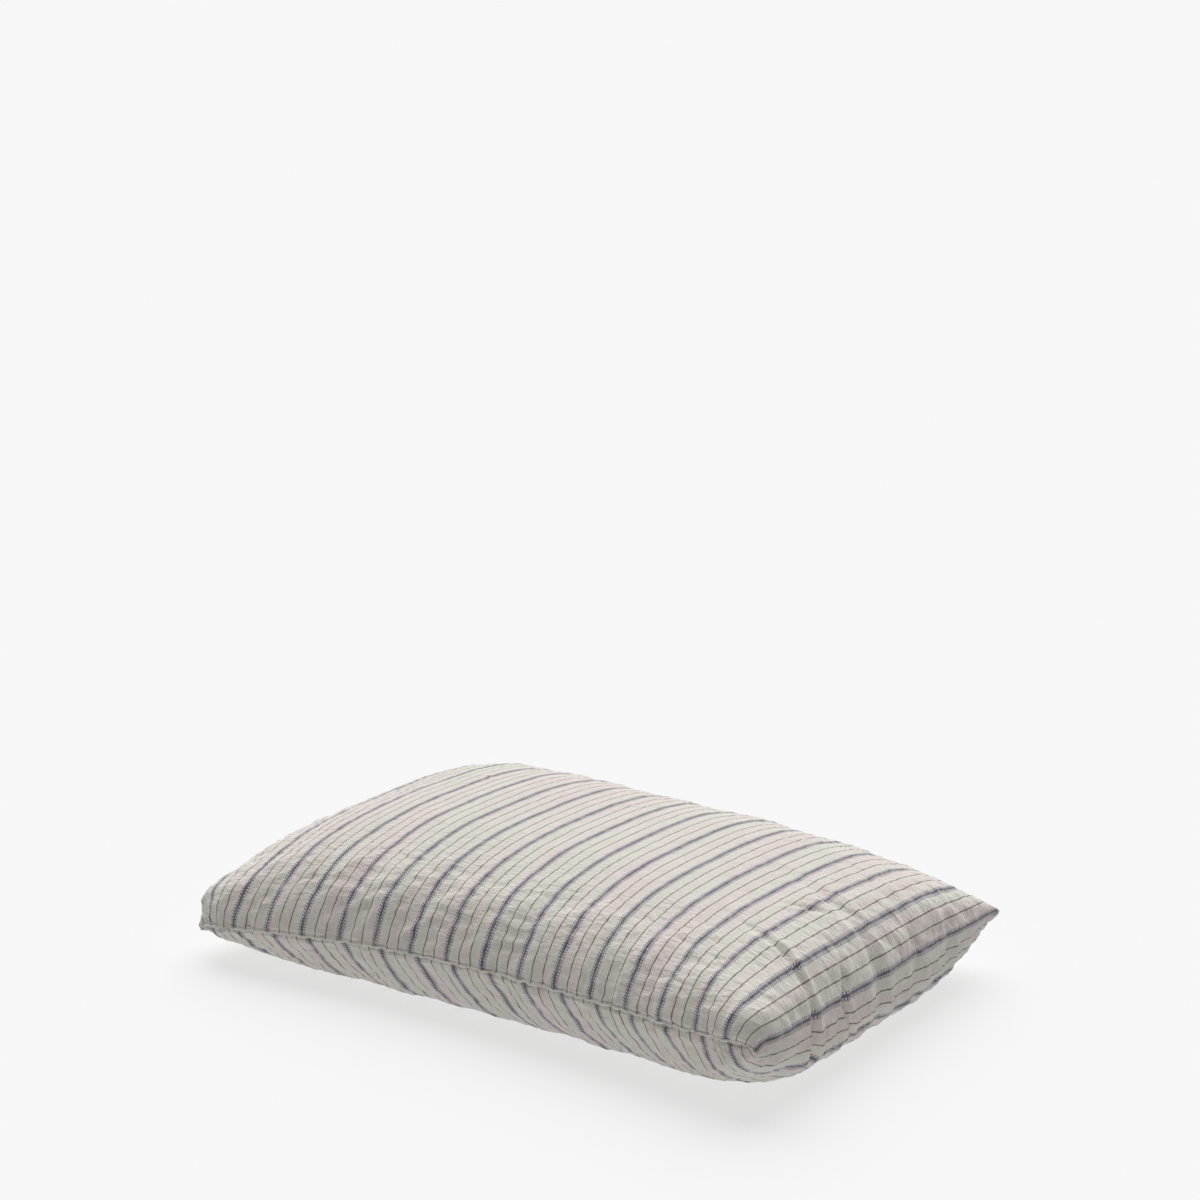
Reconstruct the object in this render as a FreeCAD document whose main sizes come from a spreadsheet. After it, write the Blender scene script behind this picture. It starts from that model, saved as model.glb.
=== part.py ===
import FreeCAD, Part
import math
import os
import Sketcher

# Bed pillow in a folded linen case, lying flat on a table.
# +X is the long axis and points at the case's closed, folded end, the mouth is at -X,
# +Z is up, and the origin is on the table under the middle of the pillow. Millimetres.
#
# Every layer of the pillow is the space between two nested "lenses": crowned closed solids
# that share one seam plane and one flat foot. A lens is lofted through half-ellipse sections
# along X, each as wide as the pillow is there and as high as its crown is there.

DIMENSIONS = (
    ("half_length", 334.0, "half the stuffed length"),
    ("half_width", 230.0, "half the stuffed width at the corners"),
    ("side_pull", 0.09, "share of the half width by which the long sides pull in at the middle"),
    ("seam_height", 69.0, "height of the seam plane over the table"),
    ("crown_height", 82.0, "rise of the crown over the seam plane"),
    ("under_depth", 95.0, "depth that the underside would have if it did not rest on a table"),
    ("end_power", 4.0, "how long the crown stays full before it falls to an end"),
    ("end_softness", 0.6, "how softly the crown falls to an end"),
    ("end_edge", 1.5, "half thickness left at the two short ends"),
    ("cloth", 0.6, "thickness of the crinkled linen"),
    ("layer_gap", 0.3, "air between two layers that lie on each other"),
    ("mouth_half_height", 1.2, "half the height of the mouth between its two lips"),
    ("mouth_margin", 9.0, "distance from a long side to the mouth's end"),
    ("hem_width", 25.0, "width of the hem along the mouth"),
    ("flap_depth", 160.0, "depth of the flap that tucks in behind the mouth"),
    ("flap_hem_width", 10.0, "width of the hem on the flap's free edge"),
    ("allowance_width", 5.5, "width of a French seam allowance"),
    ("allowance_thickness", 1.6, "thickness of the four cloth layers in an allowance"),
    ("allowance_end_gap", 16.0, "distance from a seam allowance's end to the case's end"),
    ("insert_margin", 12.0, "how much smaller the inner pillow is than the case, each side"),
    ("ticking", 0.4, "thickness of the down-proof ticking"),
    ("piping_radius", 1.7, "radius of the corded edge of the inner pillow"),
    ("piping_corner", 3.0, "bend radius of the corded edge at a corner"),
    ("piping_gap", 0.4, "air between the corded edge and the ticking"),
    ("closing_length", 250.0, "length of the row that closes the ticking after filling"),
    ("care_label_length", 55.0, "length of the care label along the seam"),
    ("care_label_reach", 30.0, "how far the care label reaches in from the seam"),
    ("label_step", 0.25, "thickness of the label tape"),
    ("ticking_label_length", 70.0, "length of the fibre label on the inner pillow"),
    ("ticking_label_reach", 35.0, "how far the fibre label reaches in from the edge"),
    ("stitch_length", 3.2, "length of one stitch"),
    ("stitch_pitch", 4.5, "distance from one stitch to the next"),
    ("stitch_width", 0.5, "width of the thread"),
    ("stitch_height", 0.2, "height of the thread over the cloth"),
    ("stitch_inset", 3.0, "distance from a stitch row to the edge that it holds"),
)

# Sections of a lens, as fractions of its half length. They crowd towards the ends, where the
# crown falls fastest.
STATIONS = (-1.0, -0.93, -0.8, -0.5, 0.0, 0.5, 0.8, 0.93, 1.0)

X_AXIS = FreeCAD.Vector(1, 0, 0)
Y_AXIS = FreeCAD.Vector(0, 1, 0)
Z_AXIS = FreeCAD.Vector(0, 0, 1)
EDGE_TOLERANCE = 0.01

document = FreeCAD.newDocument("BedPillow")
sheet = document.addObject("Spreadsheet::Sheet", "Sizes")
for row, (alias, value, meaning) in enumerate(DIMENSIONS, start=1):
    sheet.set(f"A{row}", meaning)
    sheet.set(f"B{row}", str(value))
    sheet.setAlias(f"B{row}", alias)
document.recompute()

subparts = {}


def value_of(expression):
    """The number that an expression on the sheet gives now."""
    return float(sheet.evalExpression(expression))


def keep(node, item):
    """Make an object of the document the sub-part of this name."""
    item.Label = node
    subparts[node] = item
    return item


def origin_plane(body, role):
    """The body's own origin plane with this role, such as XY_Plane."""
    return next(item for item in body.Origin.OriginFeatures if item.Role == role)


def add_sketch(body, name, role, offsets):
    """A sketch on one of the body's origin planes, moved by expressions along x, y or z."""
    sketch = body.newObject("Sketcher::SketchObject", name)
    sketch.AttachmentSupport = [(origin_plane(body, role), "")]
    sketch.MapMode = "FlatFace"
    for axis, expression in offsets.items():
        sketch.setExpression(f"AttachmentOffset.Base.{axis}", expression)
    return sketch


def constrain(sketch, kind, *places):
    """Add one geometric constraint."""
    sketch.addConstraint(Sketcher.Constraint(kind, *places))


def drive(sketch, name, expression, kind, *places):
    """Add one dimension to a sketch and bind it to the sheet."""
    index = sketch.addConstraint(Sketcher.Constraint(kind, *places, value_of(expression)))
    sketch.renameConstraint(index, name)
    sketch.setExpression(f"Constraints.{name}", expression)


# ---------------------------------------------------------------- lenses

def half_ellipse(sketch, name, width, rise, upper):
    """Half an ellipse about the sketch's origin, standing on its horizontal axis."""
    origin = FreeCAD.Vector(0, 0, 0)
    ellipse = Part.Ellipse(origin, value_of(width), value_of(rise))
    start, end = (0.0, math.pi) if upper else (math.pi, 2 * math.pi)
    arc = sketch.addGeometry(Part.ArcOfEllipse(ellipse, start, end), False)
    sketch.exposeInternalGeometry(arc)
    long_axis = arc + 1
    short_axis = arc + 2
    constrain(sketch, "Coincident", arc, 3, -1, 1)
    constrain(sketch, "Horizontal", long_axis)
    drive(sketch, name, f"2 * ({rise})", "Distance", short_axis)
    return arc


def lens_section(body, name, station, edge_inset, face_inset):
    """One closed section of a lens at a fraction of its half length."""
    fall = f"(1 - {abs(station)}^Sizes.end_power)^Sizes.end_softness"
    pull = f"(1 - Sizes.side_pull * (1 - {station ** 2}))"
    width = f"Sizes.half_width * {pull} - ({edge_inset})"
    crown = f"(Sizes.crown_height - ({face_inset})) * {fall} + Sizes.end_edge"
    under = f"(Sizes.under_depth - ({face_inset})) * {fall} + Sizes.end_edge"
    place = f"(Sizes.half_length - ({edge_inset})) * {station}"
    sketch = add_sketch(body, name, "YZ_Plane", {"y": "Sizes.seam_height", "z": place})
    upper = half_ellipse(sketch, "crown", width, crown, True)
    lower = half_ellipse(sketch, "under", width, under, False)
    constrain(sketch, "PointOnObject", upper, 1, -1)
    constrain(sketch, "PointOnObject", upper, 2, -1)
    drive(sketch, "half_width", width, "DistanceX", -1, 1, upper, 1)
    constrain(sketch, "Coincident", lower, 1, upper, 2)
    constrain(sketch, "Coincident", lower, 2, upper, 1)
    return sketch


def rectangle(sketch, half_x, half_y):
    """A rectangle about the sketch's origin, its half sides bound to the sheet."""
    x, y = value_of(half_x), value_of(half_y)
    corners = [FreeCAD.Vector(*point, 0) for point in ((x, y), (-x, y), (-x, -y), (x, -y))]
    for side in range(4):
        sketch.addGeometry(Part.LineSegment(corners[side], corners[(side + 1) % 4]), False)
    for side in range(4):
        constrain(sketch, "Coincident", side, 2, (side + 1) % 4, 1)
    for side in (0, 2):
        constrain(sketch, "Horizontal", side)
    for side in (1, 3):
        constrain(sketch, "Vertical", side)
    constrain(sketch, "Symmetric", 0, 1, 2, 1, -1, 1)
    drive(sketch, "half_x", half_x, "DistanceX", -1, 1, 0, 1)
    drive(sketch, "half_y", half_y, "DistanceY", -1, 1, 0, 1)


def lens(name, edge_inset, face_inset):
    """A crowned closed solid, smaller than the pillow by an inset, with a flat foot.

    edge_inset is how far its outline lies inside the pillow's, face_inset how far its top and
    foot do.
    """
    body = document.addObject("PartDesign::Body", name)
    sections = []
    for number, station in enumerate(STATIONS):
        label = f"{name}_section_{number}"
        sections.append(lens_section(body, label, station, edge_inset, face_inset))
    loft = body.newObject("PartDesign::AdditiveLoft", f"{name}_loft")
    loft.Profile = sections[0]
    loft.Sections = sections[1:]
    foot = add_sketch(body, f"{name}_foot_outline", "XY_Plane", {"z": face_inset})
    rectangle(foot, "2 * Sizes.half_length", "2 * Sizes.half_width")
    trim = body.newObject("PartDesign::Pocket", f"{name}_foot")
    trim.Profile = foot
    trim.Type = "ThroughAll"
    document.recompute()
    return body


# ---------------------------------------------------------------- booleans and zones

def cut(name, base, tool):
    item = document.addObject("Part::Cut", name)
    item.Base = base
    item.Tool = tool
    return item


def common(name, base, tool):
    item = document.addObject("Part::Common", name)
    item.Base = base
    item.Tool = tool
    return item


def zone(name, low, high):
    """A box between two corners, each given as three expressions."""
    box = document.addObject("Part::Box", name)
    sides = zip(("Length", "Width", "Height"), ("x", "y", "z"), low, high)
    for side, axis, first, last in sides:
        box.setExpression(side, f"({last}) - ({first})")
        box.setExpression(f"Placement.Base.{axis}", first)
    return box


def layer(node, outer, inner, low, high):
    """The part of the space between two lenses that lies in a zone, as a sub-part."""
    shell = cut(f"{node}_layer", outer, inner)
    return keep(node, common(f"{node}_piece", shell, zone(f"{node}_zone", low, high)))


CASE_INNER = "Sizes.cloth"
HEM_INNER = "2 * Sizes.cloth"
FLAP_OUTER = "2 * Sizes.cloth + Sizes.layer_gap"
FLAP_INNER = "3 * Sizes.cloth + Sizes.layer_gap"
FLAP_HEM_INNER = "4 * Sizes.cloth + Sizes.layer_gap"
TICKING_OUTER = "4 * Sizes.cloth + 2 * Sizes.layer_gap"
LABEL_OUTER = "4 * Sizes.cloth + 2 * Sizes.layer_gap - Sizes.label_step"
TICKING_INNER = f"{TICKING_OUTER} + Sizes.ticking"
FILLING_OUTER = f"{TICKING_INNER} + Sizes.layer_gap"

INSERT_EDGE = "Sizes.insert_margin"

MOUTH_X = "-Sizes.half_length"
BEYOND_X = "Sizes.half_length + 5"
BEYOND_Y = "Sizes.half_width + 5"
TABLE = "-5"
SEAM = "Sizes.seam_height"
ABOVE = "Sizes.seam_height + Sizes.crown_height + 5"
MOUTH_HALF_WIDTH = "Sizes.half_width - Sizes.mouth_margin"


# ---------------------------------------------------------------- the case

def make_case(lenses):
    """The folded cloth, its mouth hem, its tucked flap and that flap's hem."""
    mouth = zone(
        "mouth",
        (f"{MOUTH_X} - 5", f"-({MOUTH_HALF_WIDTH})", f"{SEAM} - Sizes.mouth_half_height"),
        (f"{MOUTH_X} + 5", MOUTH_HALF_WIDTH, f"{SEAM} + Sizes.mouth_half_height"),
    )
    folded = cut("folded_cloth", lenses["case_outer"], lenses["case_inner"])
    keep("case_cloth", cut("case_cloth_piece", folded, mouth))

    side = "Sizes.half_width - Sizes.mouth_margin - 2 * Sizes.cloth"
    lip = f"{SEAM} - Sizes.mouth_half_height"
    layer(
        "case_mouth_hem", lenses["case_inner"], lenses["hem_inner"],
        (MOUTH_X, f"-({side})", TABLE),
        (f"{MOUTH_X} + Sizes.hem_width", side, lip),
    )
    # The long sides pull in over the flap's depth, and the flap stays clear of their seams.
    flap_side = f"{side} - 0.5 * Sizes.side_pull * Sizes.half_width"
    layer(
        "case_inner_flap", lenses["flap_outer"], lenses["flap_inner"],
        (MOUTH_X, f"-({flap_side})", TABLE),
        (f"{MOUTH_X} + Sizes.flap_depth", flap_side, f"{SEAM} + Sizes.mouth_half_height"),
    )
    layer(
        "case_flap_hem", lenses["flap_inner"], lenses["flap_hem_inner"],
        (f"{MOUTH_X} + Sizes.flap_depth - Sizes.flap_hem_width", f"-({flap_side})", TABLE),
        (f"{MOUTH_X} + Sizes.flap_depth", flap_side, f"{SEAM} - Sizes.mouth_half_height"),
    )


def side_arc(sketch, name, inset, reach):
    """An arc that follows a long side of the case, at an inset from it.

    Its ends lie at plus and minus reach along X. The side's pull over that reach sets the
    height of the arc, and so its radius.
    """
    share = f"(({reach}) / Sizes.half_length)^2"
    sag = f"(Sizes.half_width * Sizes.side_pull * {share})"
    middle = f"(Sizes.half_width * (1 - Sizes.side_pull) - ({inset}))"
    radius = f"((({reach})^2 + {sag}^2) / (2 * {sag}))"
    bend, top, half = value_of(radius), value_of(middle), value_of(reach)
    centre = FreeCAD.Vector(0, top + bend, 0)
    lean = math.asin(half / bend)
    circle = Part.Circle(centre, Z_AXIS, bend)
    arc = sketch.addGeometry(
        Part.ArcOfCircle(circle, 1.5 * math.pi - lean, 1.5 * math.pi + lean), False
    )
    constrain(sketch, "PointOnObject", arc, 3, -2)
    drive(sketch, f"{name}_radius", radius, "Radius", arc)
    drive(sketch, f"{name}_centre", f"{middle} + {radius}", "DistanceY", -1, 1, arc, 3)
    drive(sketch, f"{name}_start", f"-({reach})", "DistanceX", -1, 1, arc, 1)
    drive(sketch, f"{name}_end", reach, "DistanceX", -1, 1, arc, 2)
    return arc


def make_allowance(node, mirrored):
    """One French seam allowance: four layers of cloth that stand inside a long side."""
    body = document.addObject("PartDesign::Body", f"{node}_body")
    outline = add_sketch(body, f"{node}_outline", "XY_Plane", {"z": SEAM})
    reach = "(Sizes.half_length - Sizes.allowance_end_gap)"
    outer = side_arc(outline, "outer", "Sizes.cloth + Sizes.layer_gap", reach)
    inner = side_arc(
        outline, "inner", "Sizes.cloth + Sizes.layer_gap + Sizes.allowance_width", reach
    )
    for end in (1, 2):
        first = outline.getPoint(outer, end)
        last = outline.getPoint(inner, end)
        line = outline.addGeometry(Part.LineSegment(first, last), False)
        constrain(outline, "Coincident", line, 1, outer, end)
        constrain(outline, "Coincident", line, 2, inner, end)
    pad = body.newObject("PartDesign::Pad", f"{node}_pad")
    pad.Profile = outline
    pad.Midplane = True
    pad.setExpression("Length", "Sizes.allowance_thickness")
    if mirrored:
        body.Placement = FreeCAD.Placement(FreeCAD.Vector(), Z_AXIS, 180)
    return keep(node, body)


# ---------------------------------------------------------------- the inner pillow

def make_insert(lenses):
    """The two ticking panels and the filling between them."""
    layer(
        "ticking_top_panel", lenses["ticking_outer"], lenses["ticking_inner"],
        (f"-({BEYOND_X})", f"-({BEYOND_Y})", SEAM), (BEYOND_X, BEYOND_Y, ABOVE),
    )
    layer(
        "ticking_bottom_panel", lenses["ticking_outer"], lenses["ticking_inner"],
        (f"-({BEYOND_X})", f"-({BEYOND_Y})", TABLE), (BEYOND_X, BEYOND_Y, SEAM),
    )
    keep("filling", lenses["filling_outer"])


def piping_path(inset):
    """The piping's closed centre line: straight ends, bowed sides and rounded corners."""
    end_x = sheet.half_length - inset
    corner_y = sheet.half_width - inset
    middle_y = sheet.half_width * (1 - sheet.side_pull) - inset
    corner = sheet.piping_corner
    sag = corner_y - middle_y
    bend = (end_x ** 2 + sag ** 2) / (2 * sag)
    side_centre = FreeCAD.Vector(0, middle_y + bend, 0)
    # Each corner's arc touches the straight end and the bowed side from inside.
    centre_x = end_x - corner
    centre_y = side_centre.y - math.sqrt((bend + corner) ** 2 - centre_x ** 2)
    round_centre = FreeCAD.Vector(centre_x, centre_y, 0)
    away = (side_centre - round_centre).normalize()
    end_touch = FreeCAD.Vector(end_x, centre_y, 0)
    side_touch = round_centre + away * corner
    halfway = round_centre + (away + X_AXIS).normalize() * corner
    side_middle = FreeCAD.Vector(0, middle_y, 0)

    def at(point, mirror_x, mirror_y):
        return FreeCAD.Vector(point.x * mirror_x, point.y * mirror_y, sheet.seam_height)

    start = at(FreeCAD.Vector(end_x, 0, 0), 1, 1)
    far = at(FreeCAD.Vector(end_x, 0, 0), -1, 1)
    edges = []
    for mirror_x, mirror_y, middle in ((1, 1, start), (-1, 1, far), (-1, -1, far), (1, -1, start)):
        on_end = at(end_touch, mirror_x, mirror_y)
        on_side = at(side_touch, mirror_x, mirror_y)
        turn = Part.Arc(on_end, at(halfway, mirror_x, mirror_y), on_side).toShape()
        edges += [Part.makeLine(middle, on_end), turn]
    for mirror_y in (1, -1):
        first = at(side_touch, 1, mirror_y)
        last = at(side_touch, -1, mirror_y)
        edges.append(Part.Arc(first, at(side_middle, 1, mirror_y), last).toShape())
    return Part.Wire(Part.__sortEdges__(edges)), start


def make_piping():
    """The cord sewn round the inner pillow's edge."""
    radius = sheet.piping_radius
    path, start = piping_path(sheet.insert_margin - radius - sheet.piping_gap)
    profile = Part.Wire(Part.makeCircle(radius, start, Y_AXIS))
    piping = document.addObject("Part::Feature", "piping")
    piping.Shape = path.makePipeShell([profile], True, False)
    keep("ticking_piping", piping)


# ---------------------------------------------------------------- labels

def make_labels(lenses):
    """Two blank folded tapes, one in the case and one on the inner pillow."""
    near = "Sizes.half_length * 0.72"
    seam_side = "Sizes.half_width - Sizes.mouth_margin - Sizes.allowance_width - 3"
    layer(
        "case_care_label", lenses["flap_outer"], lenses["flap_inner"],
        (f"{near} - Sizes.care_label_length", f"{seam_side} - Sizes.care_label_reach", TABLE),
        (near, seam_side, f"{SEAM} - Sizes.allowance_thickness"),
    )
    edge_side = "Sizes.half_width * (1 - Sizes.side_pull) - Sizes.insert_margin - 5"
    layer(
        "ticking_label", lenses["label_outer"], lenses["ticking_outer"],
        (f"{near} - Sizes.ticking_label_length", f"{edge_side} - Sizes.ticking_label_reach", SEAM),
        (near, edge_side, ABOVE),
    )


# ---------------------------------------------------------------- threads

def stitch(point, along, outward):
    """One stitch: a short flat length of thread that lies on the cloth."""
    across = outward.cross(along)
    length, width, height = sheet.stitch_length, sheet.stitch_width, sheet.stitch_height
    solid = Part.makeBox(length, width, height, FreeCAD.Vector(-length / 2, -width / 2, 0))
    turn = FreeCAD.Rotation(along, across, outward, "ZXY")
    solid.Placement = FreeCAD.Placement(point, turn)
    return solid


def thread(node, stitches):
    """A row of separate stitches as one sub-part."""
    row = document.addObject("Part::Feature", f"{node}_row")
    row.Shape = Part.makeCompound(stitches)
    keep(node, row)


def row_round(body, x, upper, half_width, facing_out):
    """Stitches across the upper or lower face of a lens, in the plane of one x."""
    centre = FreeCAD.Vector(x, 0, sheet.seam_height)
    row = []
    for wire in body.Shape.slice(X_AXIS, x):
        for edge in wire.Edges:
            if (edge.CenterOfMass.z > sheet.seam_height) != upper:
                continue
            count = max(1, int(edge.Length / sheet.stitch_pitch))
            for number in range(count):
                place = edge.getParameterByLength((number + 0.5) * edge.Length / count)
                point = edge.valueAt(place)
                if abs(point.y) > half_width:
                    continue
                along = edge.tangentAt(place)
                outward = along.cross(X_AXIS)
                if (outward.dot(point - centre) > 0) != facing_out:
                    outward = -outward
                row.append(stitch(point, along, outward))
    return row


def row_along_seam(side):
    """Stitches along the middle of a French seam allowance, on its upper face."""
    inset = sheet.cloth + sheet.layer_gap + sheet.allowance_width / 2
    reach = sheet.half_length - sheet.allowance_end_gap - sheet.stitch_inset
    count = int(2 * reach / sheet.stitch_pitch)
    level = sheet.seam_height + sheet.allowance_thickness / 2
    row = []
    for number in range(count):
        x = -reach + (number + 0.5) * 2 * reach / count
        pull = sheet.side_pull * (1 - (x / sheet.half_length) ** 2)
        slope = 2 * sheet.half_width * sheet.side_pull * x / sheet.half_length ** 2
        point = FreeCAD.Vector(x, side * (sheet.half_width * (1 - pull) - inset), level)
        along = FreeCAD.Vector(1, side * slope, 0).normalize()
        row.append(stitch(point, along, FreeCAD.Vector(0, 0, 1)))
    return row


def make_threads(lenses):
    """The five sewn rows that hold the case and the inner pillow shut."""
    mouth = -sheet.half_length
    clear = sheet.mouth_margin + sheet.stitch_inset
    half_mouth = sheet.half_width - clear
    half_flap = half_mouth - sheet.half_width * sheet.side_pull / 2 - sheet.stitch_inset
    hem_x = mouth + sheet.hem_width - sheet.stitch_inset
    flap_x = mouth + sheet.flap_depth - sheet.flap_hem_width + sheet.stitch_inset
    closing_x = sheet.half_length - sheet.insert_margin - 2 * sheet.stitch_inset
    half_closing = sheet.closing_length / 2
    thread("case_front_seam_thread", row_along_seam(-1))
    thread("case_back_seam_thread", row_along_seam(1))
    thread(
        "case_mouth_hem_thread",
        row_round(lenses["case_outer"], hem_x, False, half_mouth, True),
    )
    thread(
        "case_flap_hem_thread",
        row_round(lenses["flap_hem_inner"], flap_x, False, half_flap, False),
    )
    thread(
        "ticking_closing_thread",
        row_round(lenses["ticking_outer"], closing_x, True, half_closing, True),
    )


# ---------------------------------------------------------------- assembly

def make_pillow():
    lenses = {
        "case_outer": lens("case_outer", "0", "0"),
        "case_inner": lens("case_inner", CASE_INNER, CASE_INNER),
        "hem_inner": lens("hem_inner", HEM_INNER, HEM_INNER),
        "flap_outer": lens("flap_outer", FLAP_OUTER, FLAP_OUTER),
        "flap_inner": lens("flap_inner", FLAP_INNER, FLAP_INNER),
        "flap_hem_inner": lens("flap_hem_inner", FLAP_HEM_INNER, FLAP_HEM_INNER),
        "label_outer": lens("label_outer", INSERT_EDGE + " - Sizes.label_step", LABEL_OUTER),
        "ticking_outer": lens("ticking_outer", INSERT_EDGE, TICKING_OUTER),
        "ticking_inner": lens("ticking_inner", INSERT_EDGE + " + Sizes.ticking", TICKING_INNER),
        "filling_outer": lens(
            "filling_outer", INSERT_EDGE + " + Sizes.ticking + Sizes.layer_gap", FILLING_OUTER
        ),
    }
    make_case(lenses)
    make_allowance("case_back_seam", False)
    make_allowance("case_front_seam", True)
    make_insert(lenses)
    make_piping()
    make_labels(lenses)
    make_threads(lenses)


def check_document():
    """Stop if any object failed or any sub-part is empty or broken."""
    for item in document.Objects:
        if "Invalid" in item.State or "Error" in item.State:
            raise RuntimeError(f"{item.Name} failed: {item.State}")
    for node, item in subparts.items():
        if item.Shape.isNull() or not item.Shape.isValid() or not item.Shape.Solids:
            raise RuntimeError(f"{node} has no valid solid")


def write_parts():
    """One STEP file for each sub-part, named after its node."""
    os.makedirs("parts", exist_ok=True)
    for node, item in subparts.items():
        item.Shape.exportStep(f"parts/{node}.step")
        box = item.Shape.BoundBox
        low = f"{box.XMin:.1f} {box.YMin:.1f} {box.ZMin:.1f}"
        high = f"{box.XMax:.1f} {box.YMax:.1f} {box.ZMax:.1f}"
        print(f"{node}: {len(item.Shape.Solids)} solid, {item.Shape.Volume:.0f} mm3, {low} to {high}")


make_pillow()
document.recompute()
check_document()
write_parts()
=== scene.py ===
import math

import bpy
import numpy as np
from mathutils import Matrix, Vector


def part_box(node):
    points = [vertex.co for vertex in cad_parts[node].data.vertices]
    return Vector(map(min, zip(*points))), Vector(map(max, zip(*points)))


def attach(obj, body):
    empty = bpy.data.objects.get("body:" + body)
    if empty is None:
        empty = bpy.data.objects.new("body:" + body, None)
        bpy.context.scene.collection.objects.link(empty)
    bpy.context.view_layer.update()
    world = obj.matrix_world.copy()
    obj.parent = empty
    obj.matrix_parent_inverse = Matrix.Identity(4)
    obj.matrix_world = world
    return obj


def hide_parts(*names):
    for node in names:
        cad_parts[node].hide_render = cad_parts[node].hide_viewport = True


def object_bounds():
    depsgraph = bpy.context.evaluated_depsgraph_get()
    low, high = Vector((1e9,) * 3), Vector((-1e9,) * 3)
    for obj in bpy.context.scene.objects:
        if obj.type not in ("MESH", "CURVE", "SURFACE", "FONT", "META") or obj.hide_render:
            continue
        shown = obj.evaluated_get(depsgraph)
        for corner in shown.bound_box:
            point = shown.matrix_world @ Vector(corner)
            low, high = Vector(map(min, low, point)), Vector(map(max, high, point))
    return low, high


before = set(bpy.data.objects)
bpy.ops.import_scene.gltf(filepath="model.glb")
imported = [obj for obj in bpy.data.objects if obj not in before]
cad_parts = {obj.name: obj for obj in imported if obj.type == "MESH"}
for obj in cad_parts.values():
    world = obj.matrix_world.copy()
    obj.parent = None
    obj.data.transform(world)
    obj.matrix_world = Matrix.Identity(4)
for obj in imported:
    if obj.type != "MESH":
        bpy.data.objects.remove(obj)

# A 50 x 70 cm bed pillow. The case is one strip of crinkled striped linen, folded at the +X end
# and sewn along both long sides, with its mouth and a tucked-in flap at -X. Metres.
#
# The cloth is a grid. "along" runs from -1 at the mouth to +1 at the fold, "across" from -1 at
# the front seam to +1 at the back seam, and the side is "top" or "bottom".

cad_low, cad_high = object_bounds()
MM = 0.001

# The cloth as cut: half the case's length and width laid flat.
CUT_LONG = 350 * MM
CUT_WIDE = 250 * MM

# The stuffed outline and the height of the seam, from the CAD model.
HALF_LENGTH = (cad_high.x - cad_low.x) / 2
HALF_WIDTH = (cad_high.y - cad_low.y) / 2
SEAM_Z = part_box("ticking_top_panel")[0].z

# Cells of the cloth's grid, and the first lines in from a sewn or folded edge.
CELLS_ALONG = 62
CELLS_ACROSS = 49
CLOSE_LINES = (3.2 * MM, 9 * MM, 18 * MM)
CLOSE_LINES_AT_SEAM = (0.9 * MM, 3.4 * MM, 9 * MM, 18 * MM)
# How far the cloth turns in at the mouth, and how far its lips lie from the seam's height.
TURNED_IN = 5 * MM
LIP_RISE = 1.6 * MM
TURNED_LIP_RISE = 0.5 * MM


def grid_lines(half, cells, close_lines, turned_in=0.0):
    """The grid's lines from -1 to 1, crowded at the edges, and one beyond -1 where cloth turns in."""
    low = [-1] + [-1 + distance / half for distance in close_lines]
    if turned_in:
        low = [-1 - turned_in / half] + low
    high = [1 - distance / half for distance in reversed(close_lines)] + [1]
    between = np.linspace(low[-1], high[0], cells + 3 - len(low) - len(high))[1:-1]
    return np.concatenate([low, between, high])


ALONG_LINES = grid_lines(CUT_LONG, CELLS_ALONG, CLOSE_LINES, TURNED_IN)
ACROSS_LINES = grid_lines(CUT_WIDE, CELLS_ACROSS, CLOSE_LINES_AT_SEAM)

# Each piece is named after the CAD node it stands for, with this ending.
SOFT = "_soft"


# -------------------- noise and small maths

# Odd factors that scatter the lattice points over a sine, and what brings the noise to -1 to 1.
SCATTER = (127.1, 311.7, 74.7)
SCATTER_GAIN = 43758.5453
NOISE_GAIN = 1.5


def hashed(column, row, seed):
    """A repeatable number from 0 to 1 for each lattice point."""
    wave = np.sin(column * SCATTER[0] + row * SCATTER[1] + seed * SCATTER[2]) * SCATTER_GAIN
    return wave - np.floor(wave)


def noise(x, y, seed):
    """Smooth gradient noise of about -1 to 1, one feature to each unit of x and y."""
    column, row = np.floor(x), np.floor(y)
    part_x, part_y = x - column, y - row
    blend_x = part_x ** 3 * (part_x * (part_x * 6 - 15) + 10)
    blend_y = part_y ** 3 * (part_y * (part_y * 6 - 15) + 10)

    def corner(step_x, step_y):
        angle = 2 * math.pi * hashed(column + step_x, row + step_y, seed)
        return np.cos(angle) * (part_x - step_x) + np.sin(angle) * (part_y - step_y)

    low = corner(0, 0) * (1 - blend_x) + corner(1, 0) * blend_x
    high = corner(0, 1) * (1 - blend_x) + corner(1, 1) * blend_x
    return NOISE_GAIN * (low * (1 - blend_y) + high * blend_y)


def unit(vectors):
    return vectors / np.maximum(np.linalg.norm(vectors, axis=-1, keepdims=True), 1e-12)


def smooth_step(value, low, high):
    part = np.clip((value - low) / (high - low), 0, 1)
    return part * part * (3 - 2 * part)


# -------------------- the stuffed shape

# The long sides pull in between the corners, and the grid's rows crowd towards the edges.
SIDE_PULL = 0.093
CROWDING = 0.069
LENGTH_KEPT = 0.995
# The underside's cloth lies closer to the fold than to the mouth.
UNDER_SHIFT = 30 * MM
UNDER_CROWDING = 16 * MM

# Each corner by its signs along and across, and in millimetres how far it drops, how far it is
# pushed along the length and the width, and how far the filling pushes the cloth out close to it,
# above the seam and below it.
CORNERS = (
    ((-1, -1), 33, -31, -13, 19, 0),
    ((1, -1), -4, 0, 0, 20, 16),
    ((1, 1), 5, -9, -3, 0, 0),
    ((-1, 1), 6, 0, 0, 6, 5),
)
BAG_POWER_ALONG = 26
BAG_POWER_ACROSS = 20

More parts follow.
